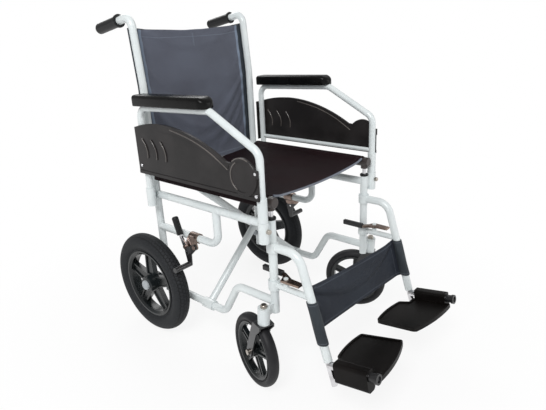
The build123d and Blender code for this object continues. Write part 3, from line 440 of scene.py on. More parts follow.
@dataclass(frozen=True)
class WovenCloth:
    """Coated nylon: a fine weave, soft creases, sewn seams and a faint sheen."""

    name: str
    colour: Colour
    shade: Colour
    size: tuple[float, float]
    seams: tuple[Seam, ...] = ()
    thread: Colour = (0.20, 0.22, 0.26)
    pitch: float = 0.0016
    sheen: float = 0.15
    gloss: float = 0.55
    crease: float = 0.25
    shine: float = 0.25

    def build(self) -> Material:
        """Make the material."""
        board = NodeBoard(self.name)
        place = board.laid(self.size)
        split = board.add("ShaderNodeSeparateXYZ")
        board.wire(place, split.inputs[0])
        across, along = split.outputs[0], split.outputs[1]
        turns = 2 * math.pi / self.pitch
        waves = [board.math("SINE", board.math("MULTIPLY", way, turns)) for way in (across, along)]
        weave = board.math("MULTIPLY", *waves)
        cloud = board.noise(place, 7.0, 5.0)
        fold = board.noise(place, 16.0, 3.0)
        patches = board.span(cloud, 0.0, 0.8, 0.3, 0.7)
        mixed = board.math("ADD", patches, board.span(weave, 0.0, 0.2, -1.0, 1.0))
        colour = board.colours(mixed, self.shade, self.colour)
        under = board.bump(fold, self.crease, 0.01)
        normal = board.bump(weave, 0.35, 0.0006, under)
        for seam in self.seams:
            sewn = board.stitches(across, along, seam)
            colour = board.cover(sewn, colour, self.thread)
            normal = board.bump(sewn, 0.6, 0.0012, normal)
        rough = board.span(cloud, self.gloss - 0.06, self.gloss + 0.1)
        return board.finish(colour, rough, normal, Sheen_Weight=self.sheen, Sheen_Roughness=0.4,
                            Specular_IOR_Level=self.shine)


Finish = PowderCoat | MouldedPlastic | PlatedSteel | TwoPart | TyreRubber | WovenCloth


class Finishes:
    """The chair's finishes, each built once."""

    WHITE = PowderCoat("white_powder_coat", (0.74, 0.785, 0.785), (0.65, 0.70, 0.71))
    BLACK = MouldedPlastic("black_moulding", (0.006, 0.0065, 0.007), (0.014, 0.015, 0.016), 0.34)
    WHEEL = MouldedPlastic("wheel_moulding", (0.006, 0.0075, 0.008), (0.012, 0.016, 0.018), 0.24, shine=0.45)
    GLOSS = MouldedPlastic("gloss_black_pad", (0.003, 0.003, 0.003), (0.007, 0.007, 0.007),
                           0.24, 420.0, 0.12, 0.14)
    GUARD = MouldedPlastic("guard_moulding", (0.016, 0.0145, 0.0145), (0.030, 0.027, 0.027),
                           0.3, 700.0, 0.2, 0.22)
    # Lighter than the guard, with lighter smears: a painted highlight for the guard trim beads.
    RIDGE = MouldedPlastic("guard_ridge", (0.075, 0.066, 0.062), (0.13, 0.115, 0.105), 0.16, 700.0, 0.1, 0.6)
    PLATE = MouldedPlastic("footplate_moulding", (0.004, 0.0033, 0.003), (0.009, 0.0075, 0.007),
                           0.36, 500.0, 0.3, 0.12)
    STEEL = PowderCoat("black_steel", (0.02, 0.02, 0.022), (0.012, 0.012, 0.013), 0.3)
    ZINC = PlatedSteel("zinc_plate", (0.62, 0.58, 0.52), (0.38, 0.34, 0.30), 0.22)
    CHROME = PlatedSteel("chrome_plate", (0.82, 0.82, 0.84), (0.62, 0.62, 0.64), 0.08)
    HUB = MouldedPlastic("hub_cap", (0.33, 0.36, 0.38), (0.45, 0.48, 0.5), 0.3)
    BRONZE = PlatedSteel("bronze_plate", (0.34, 0.26, 0.22), (0.17, 0.125, 0.11), 0.24)
    LATCH = TwoPart("latch_plate_and_pad", (0.36, 0.27, 0.22), (0.20, 0.145, 0.12), (0.012, 0.012, 0.013),
                    STANCE.point(0.0, -0.180, 0.292), (0.0, 1.0, 0.0))
    GUIDE = TwoPart("guide_rod_and_fitting", (0.78, 0.78, 0.80), (0.55, 0.54, 0.55), (0.035, 0.027, 0.025),
                    STANCE.point(0.0, -0.167, 0.469), (0.0, 0.0, 1.0), 0.1)
    STUB = TwoPart("foot_tube_and_stub", (0.80, 0.80, 0.82), (0.58, 0.57, 0.58), (0.012, 0.012, 0.013),
                   STANCE.point(0.0, -0.4425, 0.085), (0.0, -1.0, 0.0), 0.1)
    BACK = WovenCloth("back_nylon", (0.118, 0.132, 0.172), (0.080, 0.086, 0.112), BACK_FLAT,
                      (Seam(False, 0.396, 0.03, 0.398),
                       Seam(True, 0.214, 0.368, 0.406, 0.003, 0.0016), Seam(False, 0.014, 0.02, 0.408)),
                      (0.155, 0.18, 0.23))
    # Lighter blue on the raised piping beside each cane: a painted highlight.
    BACK_PIPING_HIGHLIGHT = WovenCloth("back_seam_band", (0.225, 0.275, 0.36), (0.15, 0.185, 0.245), BACK_FLAT,
                           gloss=0.42)
    BACK_EDGE = WovenCloth("back_edge_band", (0.040, 0.052, 0.064), (0.020, 0.026, 0.033), BACK_FLAT,
                           gloss=0.5)
    SEAT = WovenCloth("seat_nylon", (0.0150, 0.0050, 0.0068), (0.0075, 0.0026, 0.0035), SEAT_FLAT,
                      (Seam(False, 0.014, 0.01, 0.418), Seam(True, 0.012, 0.0, 0.431),
                       Seam(True, 0.416, 0.0, 0.431)),
                      (0.03, 0.015, 0.018), sheen=0.01, gloss=0.45, crease=0.15, shine=0.08)
    STRAP = WovenCloth("strap_nylon", (0.030, 0.037, 0.050), (0.015, 0.018, 0.026), STRAP_FLAT,
                       (Seam(False, 0.008, 0.0, 0.426), Seam(False, 0.100, 0.0, 0.426),
                        Seam(True, 0.020, 0.0, 0.108), Seam(True, 0.406, 0.0, 0.108)),
                       (0.07, 0.08, 0.10), sheen=0.05, gloss=0.5, crease=0.3, shine=0.15)
    SLEEVE = WovenCloth("sleeve_nylon", (0.046, 0.057, 0.066), (0.020, 0.025, 0.031), SLEEVE_FLAT,
                        (Seam(False, 0.006, 0.0, 0.084), Seam(False, 0.100, 0.0, 0.084)),
                        (0.09, 0.10, 0.12), sheen=0.05)
    BINDING = PowderCoat("edge_binding", (0.17, 0.19, 0.23), (0.10, 0.115, 0.145), 0.5)
    HEM = PowderCoat("hem_binding", (0.020, 0.022, 0.027), (0.010, 0.011, 0.014), 0.5)

    def __init__(self) -> None:
        """Start with nothing built."""
        self.built: dict[str, Material] = {}

    def get(self, finish: Finish) -> Material:
        """Build a finish the first time and return it after that."""
        if finish.name not in self.built:
            self.built[finish.name] = finish.build()
        return self.built[finish.name]


def deselect() -> None:
    """Leave object mode's selection empty."""
    if bpy.context.object and bpy.context.object.mode != "OBJECT":
        bpy.ops.object.mode_set(mode="OBJECT")
    bpy.ops.object.select_all(action="DESELECT")


def select(thing: Piece) -> None:
    """Select one object alone and make it active."""
    deselect()
    thing.select_set(True)
    bpy.context.view_layer.objects.active = thing


def settle(thing: Piece, name: str) -> Piece:
    """Name a piece and put its place into its mesh.

    Args:
        thing: the piece.
        name: its name.

    Returns:
        The same piece, with its origin at the world's.
    """
    select(thing)
    bpy.ops.object.transform_apply(location=True, rotation=True, scale=True)
    thing.name = name
    thing.data.name = name
    return thing


def apply_all(thing: Piece) -> None:
    """Apply every modifier on a piece."""
    select(thing)
    for modifier in list(thing.modifiers):
        bpy.ops.object.modifier_apply(modifier=modifier.name)


def paint(thing: Piece, material: Material) -> None:
    """Give a piece one material."""
    thing.data.materials.clear()
    thing.data.materials.append(material)


def smooth(thing: Piece, degrees: float = 35.0) -> None:
    """Shade a piece smooth up to an angle."""
    select(thing)
    bpy.ops.object.shade_smooth_by_angle(angle=math.radians(degrees))


def cloth_grid(name: str, columns: int, rows: int, place: Callable[[float, float], Point]) -> Piece:
    """Lay a grid over a surface.

    Args:
        name: the piece's name.
        columns: cells along u.
        rows: cells along v.
        place: gives the point for u and v, both from 0 to 1.

    Returns:
        The sheet, one face thick.
    """
    deselect()
    bpy.ops.mesh.primitive_grid_add(x_subdivisions=columns, y_subdivisions=rows, size=1.0)
    sheet = bpy.context.object
    for vertex in sheet.data.vertices:
        vertex.co = place(vertex.co.x + 0.5, vertex.co.y + 0.5)
    return settle(sheet, name)


def drape(sheet: Piece, held: Callable[[Vector], bool], slack: float, gravity: float, cap: float) -> None:
    """Let the cloth take its own wrinkles between the places where it is held.

    Args:
        sheet: a one-face-thick sheet.
        held: says whether a vertex stays put.
        slack: how much longer than its span the cloth is, as a share.
        gravity: share of gravity that acts on it.
        cap: farthest that a point may move, in metres.
    """
    select(sheet)
    start = [v.co.copy() for v in sheet.data.vertices]
    group = sheet.vertex_groups.new(name="held")
    group.add([v.index for v in sheet.data.vertices if held(v.co)], 1.0, "REPLACE")
    modifier = sheet.modifiers.new("cloth", "CLOTH")
    cloth = modifier.settings
    cloth.quality = 6
    cloth.mass = 0.4
    cloth.tension_stiffness = 25
    cloth.compression_stiffness = 25
    cloth.shear_stiffness = 8
    cloth.bending_stiffness = 1.2
    cloth.shrink_min = -slack
    cloth.vertex_group_mass = "held"
    cloth.effector_weights.gravity = gravity
    modifier.collision_settings.use_collision = False
    for step in range(1, 26):
        bpy.context.scene.frame_set(step)
    bpy.ops.object.modifier_apply(modifier=modifier.name)
    bpy.context.scene.frame_set(1)
    for vertex, before in zip(sheet.data.vertices, start):
        move = vertex.co - before
        if move.length > cap:
            vertex.co = before + move.normalized() * cap
    sheet.vertex_groups.clear()


def thicken(sheet: Piece, thickness: float, offset: float = 0.0, levels: int = 1) -> None:
    """Give a sheet its thickness and a rounded edge.

    Args:
        sheet: the sheet.
        thickness: its thickness in metres.
        offset: -1 grows it behind its faces, 1 in front, 0 both ways.
        levels: rounds of subdivision.
    """
    wall = sheet.modifiers.new("wall", "SOLIDIFY")
    wall.thickness = thickness
    wall.offset = offset
    wall.use_even_offset = True
    if levels:
        round_off = sheet.modifiers.new("round", "SUBSURF")
        round_off.levels = levels
        round_off.render_levels = levels
    apply_all(sheet)
    smooth(sheet, 50)


def ribbon(name: str, points: Sequence[Point], width: float) -> Piece:
    """Sweep a small round bead along points, for a binding, a seam or a rim.

    Args:
        name: the piece's name.
        points: the line that it follows.
        width: its width in metres.

    Returns:
        The bead as a mesh.
    """
    deselect()
    bpy.ops.curve.primitive_nurbs_path_add()
    path = bpy.context.object
    path.data.splines.clear()
    spline = path.data.splines.new("NURBS")
    spline.points.add(len(points) - 1)
    for point, place in zip(spline.points, points):
        point.co = (*place, 1.0)
    spline.order_u = 3
    spline.use_endpoint_u = True
    spline.resolution_u = 4
    path.data.bevel_depth = width / 2
    path.data.bevel_resolution = 2
    path.data.use_fill_caps = True
    bpy.ops.object.convert(target="MESH")
    bead = bpy.context.object
    return settle(bead, name)


@dataclass
class StudioView:
    """The photograph's camera, the floor and the soft lamps."""

    place: Point = (-1.0357, -0.8752, 0.9657)
    yaw: float = -49.494
    pitch: float = -22.59
    roll: float = 0.425
    lens: float = 32.59
    floor_size: float = 60.0

    def camera(self) -> None:
        """Stand the camera where the photograph was taken from."""
        yaw, pitch, roll = (math.radians(a) for a in (self.yaw, self.pitch, self.roll))
        ahead = Vector((math.sin(-yaw) * math.cos(pitch), math.cos(-yaw) * math.cos(pitch), math.sin(pitch)))
        side = Vector((math.cos(-yaw), -math.sin(-yaw), 0.0))
        up = side.cross(ahead)
        right = side * math.cos(roll) + up * math.sin(roll)
        top = up * math.cos(roll) - side * math.sin(roll)
        data = bpy.data.cameras.new("view")
        data.lens = self.lens
        data.sensor_width = 36.0
        data.clip_start = 0.05
        data.clip_end = 100.0
        eye = bpy.data.objects.new("view", data)
        bpy.context.collection.objects.link(eye)
        turn = Matrix((right, top, -ahead)).transposed()
        eye.matrix_world = Matrix.Translation(self.place) @ turn.to_4x4()
        bpy.context.scene.camera = eye

    def white_to_camera(self, name: str, shade: float) -> Material:
        """Make a surface that takes shadow but looks pale to the camera and in gloss.

        Args:
            name: the material's name.
            shade: how much of the camera's view is plain white near the object. Farther out it is all white.

        Returns:
            The material.
        """
        material = bpy.data.materials.new(name)
        material.use_nodes = True
        tree = material.node_tree
        tree.nodes.clear()
        add, wire = tree.nodes.new, tree.links.new
        out = add("ShaderNodeOutputMaterial")
        matte = add("ShaderNodeBsdfDiffuse")
        matte.inputs["Color"].default_value = (0.9, 0.9, 0.9, 1.0)
        glow = add("ShaderNodeEmission")
        glow.inputs["Strength"].default_value = 1.0
        mix = add("ShaderNodeMixShader")
        light = add("ShaderNodeLightPath")
        seen = add("ShaderNodeMath")
        seen.operation = "MAXIMUM"
        wire(light.outputs["Is Camera Ray"], seen.inputs[0])
        wire(light.outputs["Is Glossy Ray"], seen.inputs[1])
        share = add("ShaderNodeMath")
        share.operation = "MULTIPLY"
        spot = add("ShaderNodeTexCoord")
        reach = add("ShaderNodeVectorMath")
        reach.operation = "LENGTH"
        wire(spot.outputs["Object"], reach.inputs[0])
        fade = add("ShaderNodeMapRange")
        fade.interpolation_type = "SMOOTHSTEP"
        fade.inputs["From Min"].default_value = 0.45
        fade.inputs["From Max"].default_value = 1.1
        fade.inputs["To Min"].default_value = shade
        wire(reach.outputs["Value"], fade.inputs["Value"])
        wire(fade.outputs["Result"], share.inputs[1])
        wire(seen.outputs[0], share.inputs[0])
        wire(share.outputs[0], mix.inputs[0])
        wire(matte.outputs[0], mix.inputs[1])
        wire(glow.outputs[0], mix.inputs[2])
        wire(mix.outputs[0], out.inputs["Surface"])
        return material

    def floor(self) -> None:
        """Lay a pale floor that keeps a faint shadow."""
        deselect()
        bpy.ops.mesh.primitive_plane_add(size=self.floor_size)
        ground = settle(bpy.context.object, "studio_floor")
        paint(ground, self.white_to_camera("studio_floor", 0.86))

    def world(self) -> None:
        """Light from all round, white behind the object."""
        world = bpy.data.worlds.new("studio")
        bpy.context.scene.world = world
        world.use_nodes = True
        tree = world.node_tree
        back = tree.nodes["Background"]
        light = tree.nodes.new("ShaderNodeLightPath")
        level = tree.nodes.new("ShaderNodeMapRange")
        level.inputs["To Min"].default_value = 0.46
        level.inputs["To Max"].default_value = 1.0
        tree.links.new(light.outputs["Is Camera Ray"], level.inputs["Value"])
        tree.links.new(level.outputs["Result"], back.inputs["Strength"])
        back.inputs["Color"].default_value = (1.0, 1.0, 1.0, 1.0)

    def lamp(self, name: str, place: Point, target: Point, size: float, power: float) -> None:
        """Hang one soft lamp.

        Args:
            name: the lamp's name.
            place: where it hangs.
            target: what it points at.
            size: its side in metres.
            power: its power in watts.
        """
        data = bpy.data.lights.new(name, "AREA")
        data.size = size
        data.energy = power
        thing = bpy.data.objects.new(name, data)
        bpy.context.collection.objects.link(thing)
        thing.location = place
        thing.rotation_euler = (Vector(target) - Vector(place)).to_track_quat("-Z", "Y").to_euler()

    def build(self) -> None:
        """Set the whole studio."""
        bpy.context.scene.view_settings.view_transform = "Standard"
        self.camera()
        self.floor()
        self.world()
        self.lamp("key", (-2.2, -1.0, 2.8), (0.0, 0.0, 0.5), 1.2, 72.0)
        self.lamp("fill", (1.6, -2.6, 1.6), (0.0, 0.0, 0.4), 2.0, 20.0)
        self.lamp("rim", (1.2, 2.4, 2.2), (0.0, 0.0, 0.6), 1.6, 25.0)


@dataclass
class HardParts:
    """Finishes on the CAD nodes that keep their own shape."""

    finishes: Finishes
    nodes: dict[str, Piece]
    rear_axle: Point = (0.270, 0.263, 0.157)

    def coats(self) -> dict[str, Finish]:
        """Say which finish each kind of piece has."""
        f = Finishes
        return {
            "side_frame": f.WHITE, "arm_frame": f.WHITE, "legrest_hanger": f.WHITE,
            "brace_front": f.WHITE, "brace_rear": f.WHITE,
            "push_grip": f.BLACK, "post_bushing": f.BLACK, "brake_grip": f.BLACK, "rear_wheel": f.WHEEL,
            "caster_wheel": f.WHEEL, "seat_guide": f.GUIDE, "arm_pad": f.GLOSS, "skirt_guard": f.GUARD,
            "footplate": f.PLATE, "caster_fork": f.STEEL, "brake_shoe": f.STEEL, "legrest_latch": f.LATCH,
            "guard_screws": f.CHROME, "armrest_lock": f.ZINC, "brake_bracket": f.BRONZE,
            "brake_lever": f.CHROME,
            "caster_cap_nut": f.ZINC, "caster_axle": f.ZINC, "brace_bolt": f.ZINC, "footrest_tube": f.STUB,
            "rear_axle": f.HUB,
        }

    def tyre(self, side: Side) -> TyreRubber:
        """The rear tyre's rubber on one side."""
        axle = (side.value * self.rear_axle[0], self.rear_axle[1], self.rear_axle[2])
        return TyreRubber(f"rear_tyre_{side.word}", (0.012, 0.0135, 0.015), (0.032, 0.034, 0.038),
                          axle, self.rear_axle[2], 80, 0.0085)

    def dress(self) -> None:
        """Paint every carried-over node."""
        coats = self.coats()
        caster = MouldedPlastic("caster_rubber", (0.014, 0.014, 0.016), (0.028, 0.028, 0.03),
                                0.5, 600.0, 0.2)
        for name, node in self.nodes.items():
            kind = name.removesuffix("_left").removesuffix("_right")
            if kind in coats:
                material = self.finishes.get(coats[kind])
            elif kind == "rear_tyre":
                material = self.finishes.get(self.tyre(Side.LEFT if name.endswith("left") else Side.RIGHT))
            elif kind == "caster_tyre":
                material = self.finishes.get(caster)
            else:
                continue
            for slot in node.material_slots:
                slot.material = material
            log.info("finished %s with %s", name, material.name)


@dataclass
class ArmPad:
    """Moulded arm pad with a round nose and a soft crown, on the tube's saddle."""

    finishes: Finishes
    nodes: dict[str, Piece]
    nose: float = 0.0215
    heel: float = 0.009
    crown: float = 0.0095
    foot: float = 0.003
    setback: float = 0.009
    fall: float = 0.012
    fall_length: float = 0.035

    def edges(self, pad: Piece, wanted: Callable[[Vector, Vector], bool]) -> None:
        """Select the edges of a pad whose two ends pass a test."""
        select(pad)
        bpy.ops.object.mode_set(mode="EDIT")
        bpy.ops.mesh.select_mode(type="EDGE")
        bpy.ops.mesh.select_all(action="DESELECT")
        bpy.ops.object.mode_set(mode="OBJECT")
        points = pad.data.vertices
        for edge in pad.data.edges:
            edge.select = wanted(*(points[i].co for i in edge.vertices))
        bpy.ops.object.mode_set(mode="EDIT")

    def slope(self, name: str) -> float:
        """How far a plain pad rises towards its front, on the level drawing."""
        points = [STANCE.matrix().inverted() @ v.co for v in self.nodes[name].data.vertices]
        rear, front = max(p.y for p in points), min(p.y for p in points)
        at_rear = max(p.z for p in points if p.y > rear - 0.02)
        at_front = max(p.z for p in points if p.y < front + 0.02)
        return math.atan2(at_front - at_rear, rear - front)

    def build(self) -> None:
        """Make both pads in place of the plain ones."""
        for side in Side:
            name = f"arm_pad_{side.word}"
            pose = STANCE.matrix() @ Matrix.Rotation(-self.slope(name), 4, "X")
            corners = [pose.inverted() @ v.co for v in self.nodes[name].data.vertices]
            low = Vector([min(p[i] for p in corners) for i in range(3)])
            high = Vector([max(p[i] for p in corners) for i in range(3)])
            low.y += self.setback
            deselect()
            bpy.ops.mesh.primitive_cube_add(size=1.0, location=(low + high) / 2, scale=high - low)
            pad = settle(bpy.context.object, f"padded_arm_{side.word}")
            front, rear, top = low.y + 0.001, high.y - 0.001, high.z - 0.001
            self.edges(pad, lambda a, b: a.y < front and b.y < front and abs(a.z - b.z) > 0.01)
            bpy.ops.mesh.bevel(offset=self.nose, segments=7)
            self.edges(pad, lambda a, b: a.y > rear and b.y > rear and abs(a.z - b.z) > 0.01)
            bpy.ops.mesh.bevel(offset=self.heel, segments=4)
            self.edges(pad, lambda a, b: a.z > top and b.z > top)
            bpy.ops.mesh.bevel(offset=self.crown, segments=5)
            self.edges(pad, lambda a, b: max(a.z, b.z) < low.z + 0.0005)
            bpy.ops.mesh.bevel(offset=self.foot, segments=3)
            bpy.ops.mesh.select_all(action="SELECT")
            bpy.ops.mesh.quads_convert_to_tris()
            bpy.ops.object.mode_set(mode="OBJECT")
            for vertex in pad.data.vertices:
                near = max(0.0, 1 - (vertex.co.y - low.y) / self.fall_length)
                vertex.co.z -= self.fall * near * near * (vertex.co.z - low.z) / (high.z - low.z)
            smooth(pad, 40)
            paint(pad, self.finishes.get(Finishes.GLOSS))
            pad.data.transform(pose)
            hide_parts(name)
            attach(pad, f"{side.word}_armrest")
            log.info("built %s", pad.name)


@dataclass
class GuardTrim:
    """Rolled ridge, disc rim and rib crests of the skirt guards, as beads in a plastic lighter than the
    guard that paints the highlights they catch.
    """

    finishes: Finishes
    ridge: tuple[tuple[float, float], ...] = (
        (0.118, 0.6450), (0.060, 0.6355), (0.006, 0.6190), (-0.044, 0.5970), (-0.086, 0.5700),
    )
    disc: tuple[float, float] = (-0.130, 0.559)
    disc_r: float = 0.0375
    brow_r: float = 0.0448
    rim_width: float = 0.0034
    back_width: float = 0.0036
    rib_y: float = 0.232
    rib_pitch: float = 0.040
    rib_foot: float = 0.556
    rib_rise: float = 0.052

    def arc(self, radius: float, start: float, end: float) -> list[tuple[float, float]]:
        """Points of an arc about the disc's middle, angles in degrees from the rear upwards."""
        steps = 9
        turns = [math.radians(start + (end - start) * i / steps) for i in range(steps + 1)]
        return [(self.disc[0] + radius * math.cos(t), self.disc[1] + radius * math.sin(t)) for t in turns]

    def rib(self, order: int) -> list[tuple[float, float]]:
        """Points along one rib."""
        y = self.rib_y - order * self.rib_pitch
        bow = self.rib_rise / 6
        shares = [i / 5 for i in range(6)]
        return [(y + self.rib_rise / 3 * t - 4 * bow * t * (1 - t), self.rib_foot + self.rib_rise * t)
                for t in shares]

    def bead(self, name: str, side: Side, x: float, line: Line, width: float) -> None:
        """Lay one bead on a guard.

        Args:
            name: the piece's name.
            side: the guard's side.
            x: how far its middle lies from the chair's middle.
            line: its points as Y and Z on the level drawing.
            width: its width in metres.
        """
        piece = ribbon(name, [(side.value * x, y, z) for y, z in line], width)
        # The bead's lighter colour is a painted highlight.
        paint(piece, self.finishes.get(Finishes.RIDGE))
        smooth(piece, 60)
        STANCE.stand(piece)
        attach(piece, f"{side.word}_armrest")

    def build(self, face: dict[Side, tuple[float, float]]) -> None:
        """Make the trim of both guards.

        Args:
            face: how far each guard's inner and outer faces lie from the chair's middle.
        """
        for side in Side:
            inner, outer = face[side]
            self.bead(f"guard_ridge_{side.word}", side, outer - 0.0006, self.ridge, 0.0042)
            self.bead(f"guard_ridge_back_{side.word}", side, inner, self.ridge, self.back_width)
            rim, brow = self.arc(self.disc_r, 62, -62), self.arc(self.brow_r, 118, 50)
            self.bead(f"guard_disc_rim_{side.word}", side, outer - 0.0012, rim, self.rim_width)
            self.bead(f"guard_disc_brow_{side.word}", side, outer - 0.0010, brow, self.rim_width)
            for order in range(3):
                line = self.rib(order)
                self.bead(f"guard_rib_{order + 1}_{side.word}", side, outer - 0.0022, line, 0.0030)
                self.bead(f"guard_rib_back_{order + 1}_{side.word}", side, inner, line, self.back_width)
            log.info("built the %s guard's trim", side.word)


@dataclass
class BackSling:
    """Nylon back that passes behind the canes and curls round their outer sides."""

    finishes: Finishes
    cane_x: float = 0.214
    cane_y: float = 0.285
    wrap: float = 0.0130
    inset: float = 0.004
    foot: float = 0.480
    top: float = 0.896
    lean_start: float = 0.740
    lean: float = math.radians(5.0)
    hem_sag: float = 0.008
    thickness: float = 0.0026
    piping: float = 0.187
    curl: float = 0.075
    keep: float = 0.35

    def cane(self, z: float) -> float:
        """Middle of the cane at a height."""
        return self.cane_y + max(0.0, z - self.lean_start) * math.tan(self.lean)

    def section(self, u: float) -> tuple[float, float]:
        """Point of the level section.

        Args:
            u: from 0 at the right edge to 1 at the left edge.

        Returns:
            X, and how far it lies behind the canes' middles.
        """
        side = -1.0 if u < 0.5 else 1.0
        share = min(u, 1.0 - u)
        if share < self.curl:
            angle = math.radians(8 + 84 * share / self.curl)
            return side * (self.cane_x + self.wrap * math.cos(angle)), self.wrap * math.sin(angle)
        across = (share - self.curl) / (0.5 - self.curl)
        x = self.cane_x * (1 - across)
        dip = self.inset * min(1.0, across / 0.12)
        return side * x, self.wrap - dip - 0.003 * across

    def place(self, u: float, v: float) -> Point:
        """Point of the sheet."""
        x, behind = self.section(u)
        crown = max(0.0, 1 - (x / self.cane_x) ** 2)
        z = self.foot + (self.top - self.hem_sag * crown * v - self.foot) * v
        return x, self.cane(z) + behind + 0.004 * crown * math.sin(math.pi * v), z

    def band(self, centre: Vector) -> int:
        """Say which strip of the back a face is in: 0 panel, 1 piping (lighter cloth as a painted
        highlight), 2 edge, 3 hem.
        """
        off = abs(centre.x)
        if centre.z > self.cane_top(centre.x) - 0.0035:
            return 3
        if off > self.piping + 0.0045:
            return 2
        return 1 if off > self.piping - 0.0045 else 0

    def cane_top(self, x: float) -> float:
        """Height of the top edge at a place across."""
        return self.top - self.hem_sag * max(0.0, 1 - (x / self.cane_x) ** 2)

    def colour(self, piece: Piece) -> None:
        """Give the strips of a piece their own cloths."""
        for finish in (Finishes.BACK, Finishes.BACK_PIPING_HIGHLIGHT, Finishes.BACK_EDGE, Finishes.HEM):
            piece.data.materials.append(self.finishes.get(finish))
        for face in piece.data.polygons:
            face.material_index = self.band(face.center)

    def cane_edge(self, side: Side) -> None:
        """Make the edge that curls round one cane and stays with it."""
        start = 0.0 if side is Side.RIGHT else 1.0 - self.curl
        edge = cloth_grid(f"back_edge_{side.word}", 10, 70,
                          lambda u, v: self.place(start + self.curl * u, v))
        thicken(edge, self.thickness, 0.0)
        self.colour(edge)
        STANCE.stand(edge)
        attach(edge, f"{side.word}_frame")
        log.info("built %s", edge.name)

    def build(self) -> None:
        """Make the panel with its top hem, the piping beside each cane and the short middle seam."""
        share = 1 - 2 * self.curl
        panel = cloth_grid("back_panel", 116, 70, lambda u, v: self.place(self.curl + share * u, v))
        drape(panel, lambda p: abs(p.x) > self.cane_x - 0.012, 0.006, 0.1, 0.005)
        for vertex in panel.data.vertices:
            vertex.co.z = min(vertex.co.z, self.top + 0.001)
            ridge = max(0.0, 1 - abs(abs(vertex.co.x) - self.piping) / 0.005)
            middle = max(0.0, 1 - abs(vertex.co.x) / 0.003) if vertex.co.z > self.top - 0.055 else 0.0
            vertex.co.y -= 0.0022 * ridge + 0.0016 * middle
        thicken(panel, self.thickness, 0.0)
        self.colour(panel)
        STANCE.stand(panel)
        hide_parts("back_sling")
        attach(panel, "right_frame")
        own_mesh(panel)
        log.info("built %s", panel.name)
        for side in Side:
            self.cane_edge(side)


@dataclass
class SeatSling:
    """Nylon seat that lies over both seat rails and sags between them."""

    finishes: Finishes
    rail_x: float = 0.214
    rail_top: float = 0.5055
    edge: float = 0.2305
    front: float = -0.165
    rear: float = 0.266
    sag: float = 0.013
    thickness: float = 0.003
    binding: float = 0.0062
    curl: float = 0.09
    keep: float = 0.35

    def place(self, u: float, v: float) -> Point:
        """Point of the sheet, u across and v from front to rear."""
        side = -1.0 if u < 0.5 else 1.0
        share = min(u, 1.0 - u)
        y = self.front + (self.rear - self.front) * v
        if share < self.curl:
            part = share / self.curl
            angle = math.radians(90 * part)
            radius = self.edge - self.rail_x
            x = self.rail_x + radius * math.cos(angle)
            z = self.rail_top - radius + radius * math.sin(angle) - 0.010 * (1 - part)
            return side * x, y, z
        across = (share - self.curl) / (0.5 - self.curl)
        x = self.rail_x * (1 - across)
        return side * x, y, self.rail_top - self.sag * (1 - (x / self.rail_x) ** 2)

    def rail_edge(self, side: Side) -> None:
        """Make the edge that wraps one seat rail and stays with it."""
        start = 0.0 if side is Side.RIGHT else 1.0 - self.curl
        edge = cloth_grid(f"seat_edge_{side.word}", 10, 40,
                          lambda u, v: self.place(start + self.curl * u, v))
        thicken(edge, self.thickness, 0.0)
        paint(edge, self.finishes.get(Finishes.SEAT))
        STANCE.stand(edge)
        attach(edge, f"{side.word}_seat_guide")
        log.info("built %s", edge.name)

    def build(self) -> None:
        """Make the seat and its front binding."""
        share = 1 - 2 * self.curl
        seat = cloth_grid("seat_cloth", 90, 80, lambda u, v: self.place(self.curl + share * u, v))
        drape(seat, lambda p: abs(p.x) > self.rail_x - 0.006, 0.008, 0.5, 0.006)
        edge = [v.co.copy() for v in seat.data.vertices if v.co.y < self.front + 0.0015]
        edge.sort(key=lambda p: p.x)
        thicken(seat, self.thickness, 0.0)
        paint(seat, self.finishes.get(Finishes.SEAT))
        STANCE.stand(seat)
        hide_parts("seat_sling")
        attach(seat, "left_seat_guide")
        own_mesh(seat)
        line = [p for p in edge if abs(p.x) < self.rail_x - 0.01][::4]
        binding = ribbon("seat_binding", [tuple(p) for p in line], self.binding)
        paint(binding, self.finishes.get(Finishes.BINDING))
        smooth(binding)
        STANCE.stand(binding)
        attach(binding, "left_seat_guide")
        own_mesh(binding)
        log.info("built %s", seat.name)
        for side in Side:
            self.rail_edge(side)


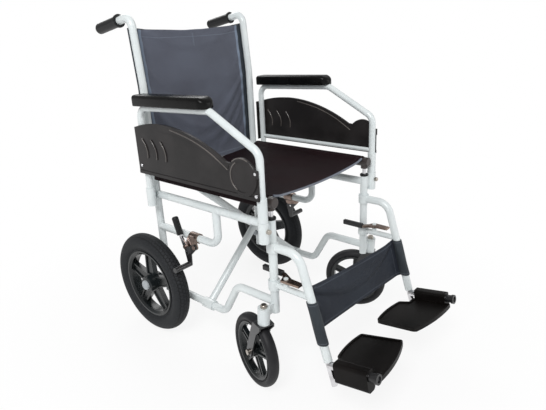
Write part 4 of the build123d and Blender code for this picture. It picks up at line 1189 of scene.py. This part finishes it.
@dataclass
class CalfStrap:
    """Nylon strap with a sleeve round each legrest tube."""

    finishes: Finishes
    tube_x: float = 0.214
    corner_y: float = -0.248
    corner_z: float = 0.374
    rake: float = 0.311
    right_span: tuple[float, float] = (0.174, 0.289)
    left_span: tuple[float, float] = (0.154, 0.262)
    right_sleeve: tuple[float, float] = (0.156, 0.262)
    left_sleeve: tuple[float, float] = (0.160, 0.266)
    sleeve_r: float = 0.0116
    sag: float = 0.012
    thickness: float = 0.0026
    keep: float = 0.35

    def tube_y(self, z: float) -> float:
        """Middle of the raked tube at a height."""
        return self.corner_y - (self.corner_z - z) * self.rake

    def panel_point(self, u: float, v: float) -> Point:
        """Point of the panel, u from right to left and v upwards."""
        x = (2 * u - 1) * (self.tube_x - 0.002)
        crown = 1 - (x / self.tube_x) ** 2
        foot = self.right_span[0] * (1 - u) + self.left_span[0] * u - self.sag * 0.4 * crown
        top = self.right_span[1] * (1 - u) + self.left_span[1] * u - self.sag * crown
        z = foot + (top - foot) * v
        behind = 0.0115 + 0.008 * crown
        return x, self.tube_y(z) + behind, z + 0.3 * behind

    def sleeve_point(self, side: Side) -> Callable[[float, float], Point]:
        """Give the surface of one sleeve, u round the tube and v upwards."""
        low, high = self.left_sleeve if side is Side.LEFT else self.right_sleeve

        def point(u: float, v: float) -> Point:
            """Point round the tube."""
            angle = 2 * math.pi * u
            z = low + (high - low) * v
            swell = self.sleeve_r + 0.0006 * math.sin(3 * angle + 5 * v) + 0.0006 * (1 - v)
            x = side.value * self.tube_x + swell * math.cos(angle)
            return x, self.tube_y(z) + swell * math.sin(angle), z

        return point

    def build(self) -> None:
        """Make the panel and both sleeves."""
        panel = cloth_grid("calf_panel", 80, 24, self.panel_point)
        drape(panel, lambda p: abs(p.x) > self.tube_x - 0.008, 0.02, 0.6, 0.008)
        thicken(panel, self.thickness, 0.0)
        paint(panel, self.finishes.get(Finishes.STRAP))
        STANCE.stand(panel)
        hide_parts("calf_strap")
        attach(panel, "left_legrest")
        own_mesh(panel)
        for side in Side:
            sleeve = cloth_grid(f"calf_sleeve_{side.word}", 36, 20, self.sleeve_point(side))
            select(sleeve)
            bpy.ops.object.mode_set(mode="EDIT")
            bpy.ops.mesh.select_all(action="SELECT")
            bpy.ops.mesh.remove_doubles(threshold=0.0002)
            bpy.ops.mesh.normals_make_consistent(inside=False)
            bpy.ops.object.mode_set(mode="OBJECT")
            thicken(sleeve, 0.0022, 1.0)
            paint(sleeve, self.finishes.get(Finishes.SLEEVE))
            STANCE.stand(sleeve)
            if side is Side.RIGHT:
                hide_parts("calf_cuff")
            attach(sleeve, f"{side.word}_legrest")
            log.info("built %s", sleeve.name)


def guard_faces(side: Side) -> tuple[float, float]:
    """Distances of a guard's inner plate face and its raised outer face from the chair's middle."""
    low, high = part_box(f"skirt_guard_{side.word}")
    outer = max(abs(low[0]), abs(high[0]))
    return outer - GUARD_DEPTH, outer


def main() -> None:
    """Load the frame and dress it."""
    logging.basicConfig(level=logging.INFO, format="%(name)s: %(message)s")
    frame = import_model()
    deselect()
    finishes = Finishes()
    StudioView().build()
    HardParts(finishes, frame["nodes"]).dress()
    ArmPad(finishes, frame["nodes"]).build()
    GuardTrim(finishes).build({side: guard_faces(side) for side in Side})
    BackSling(finishes).build()
    SeatSling(finishes).build()
    CalfStrap(finishes).build()


if __name__ == "__main__":
    main()
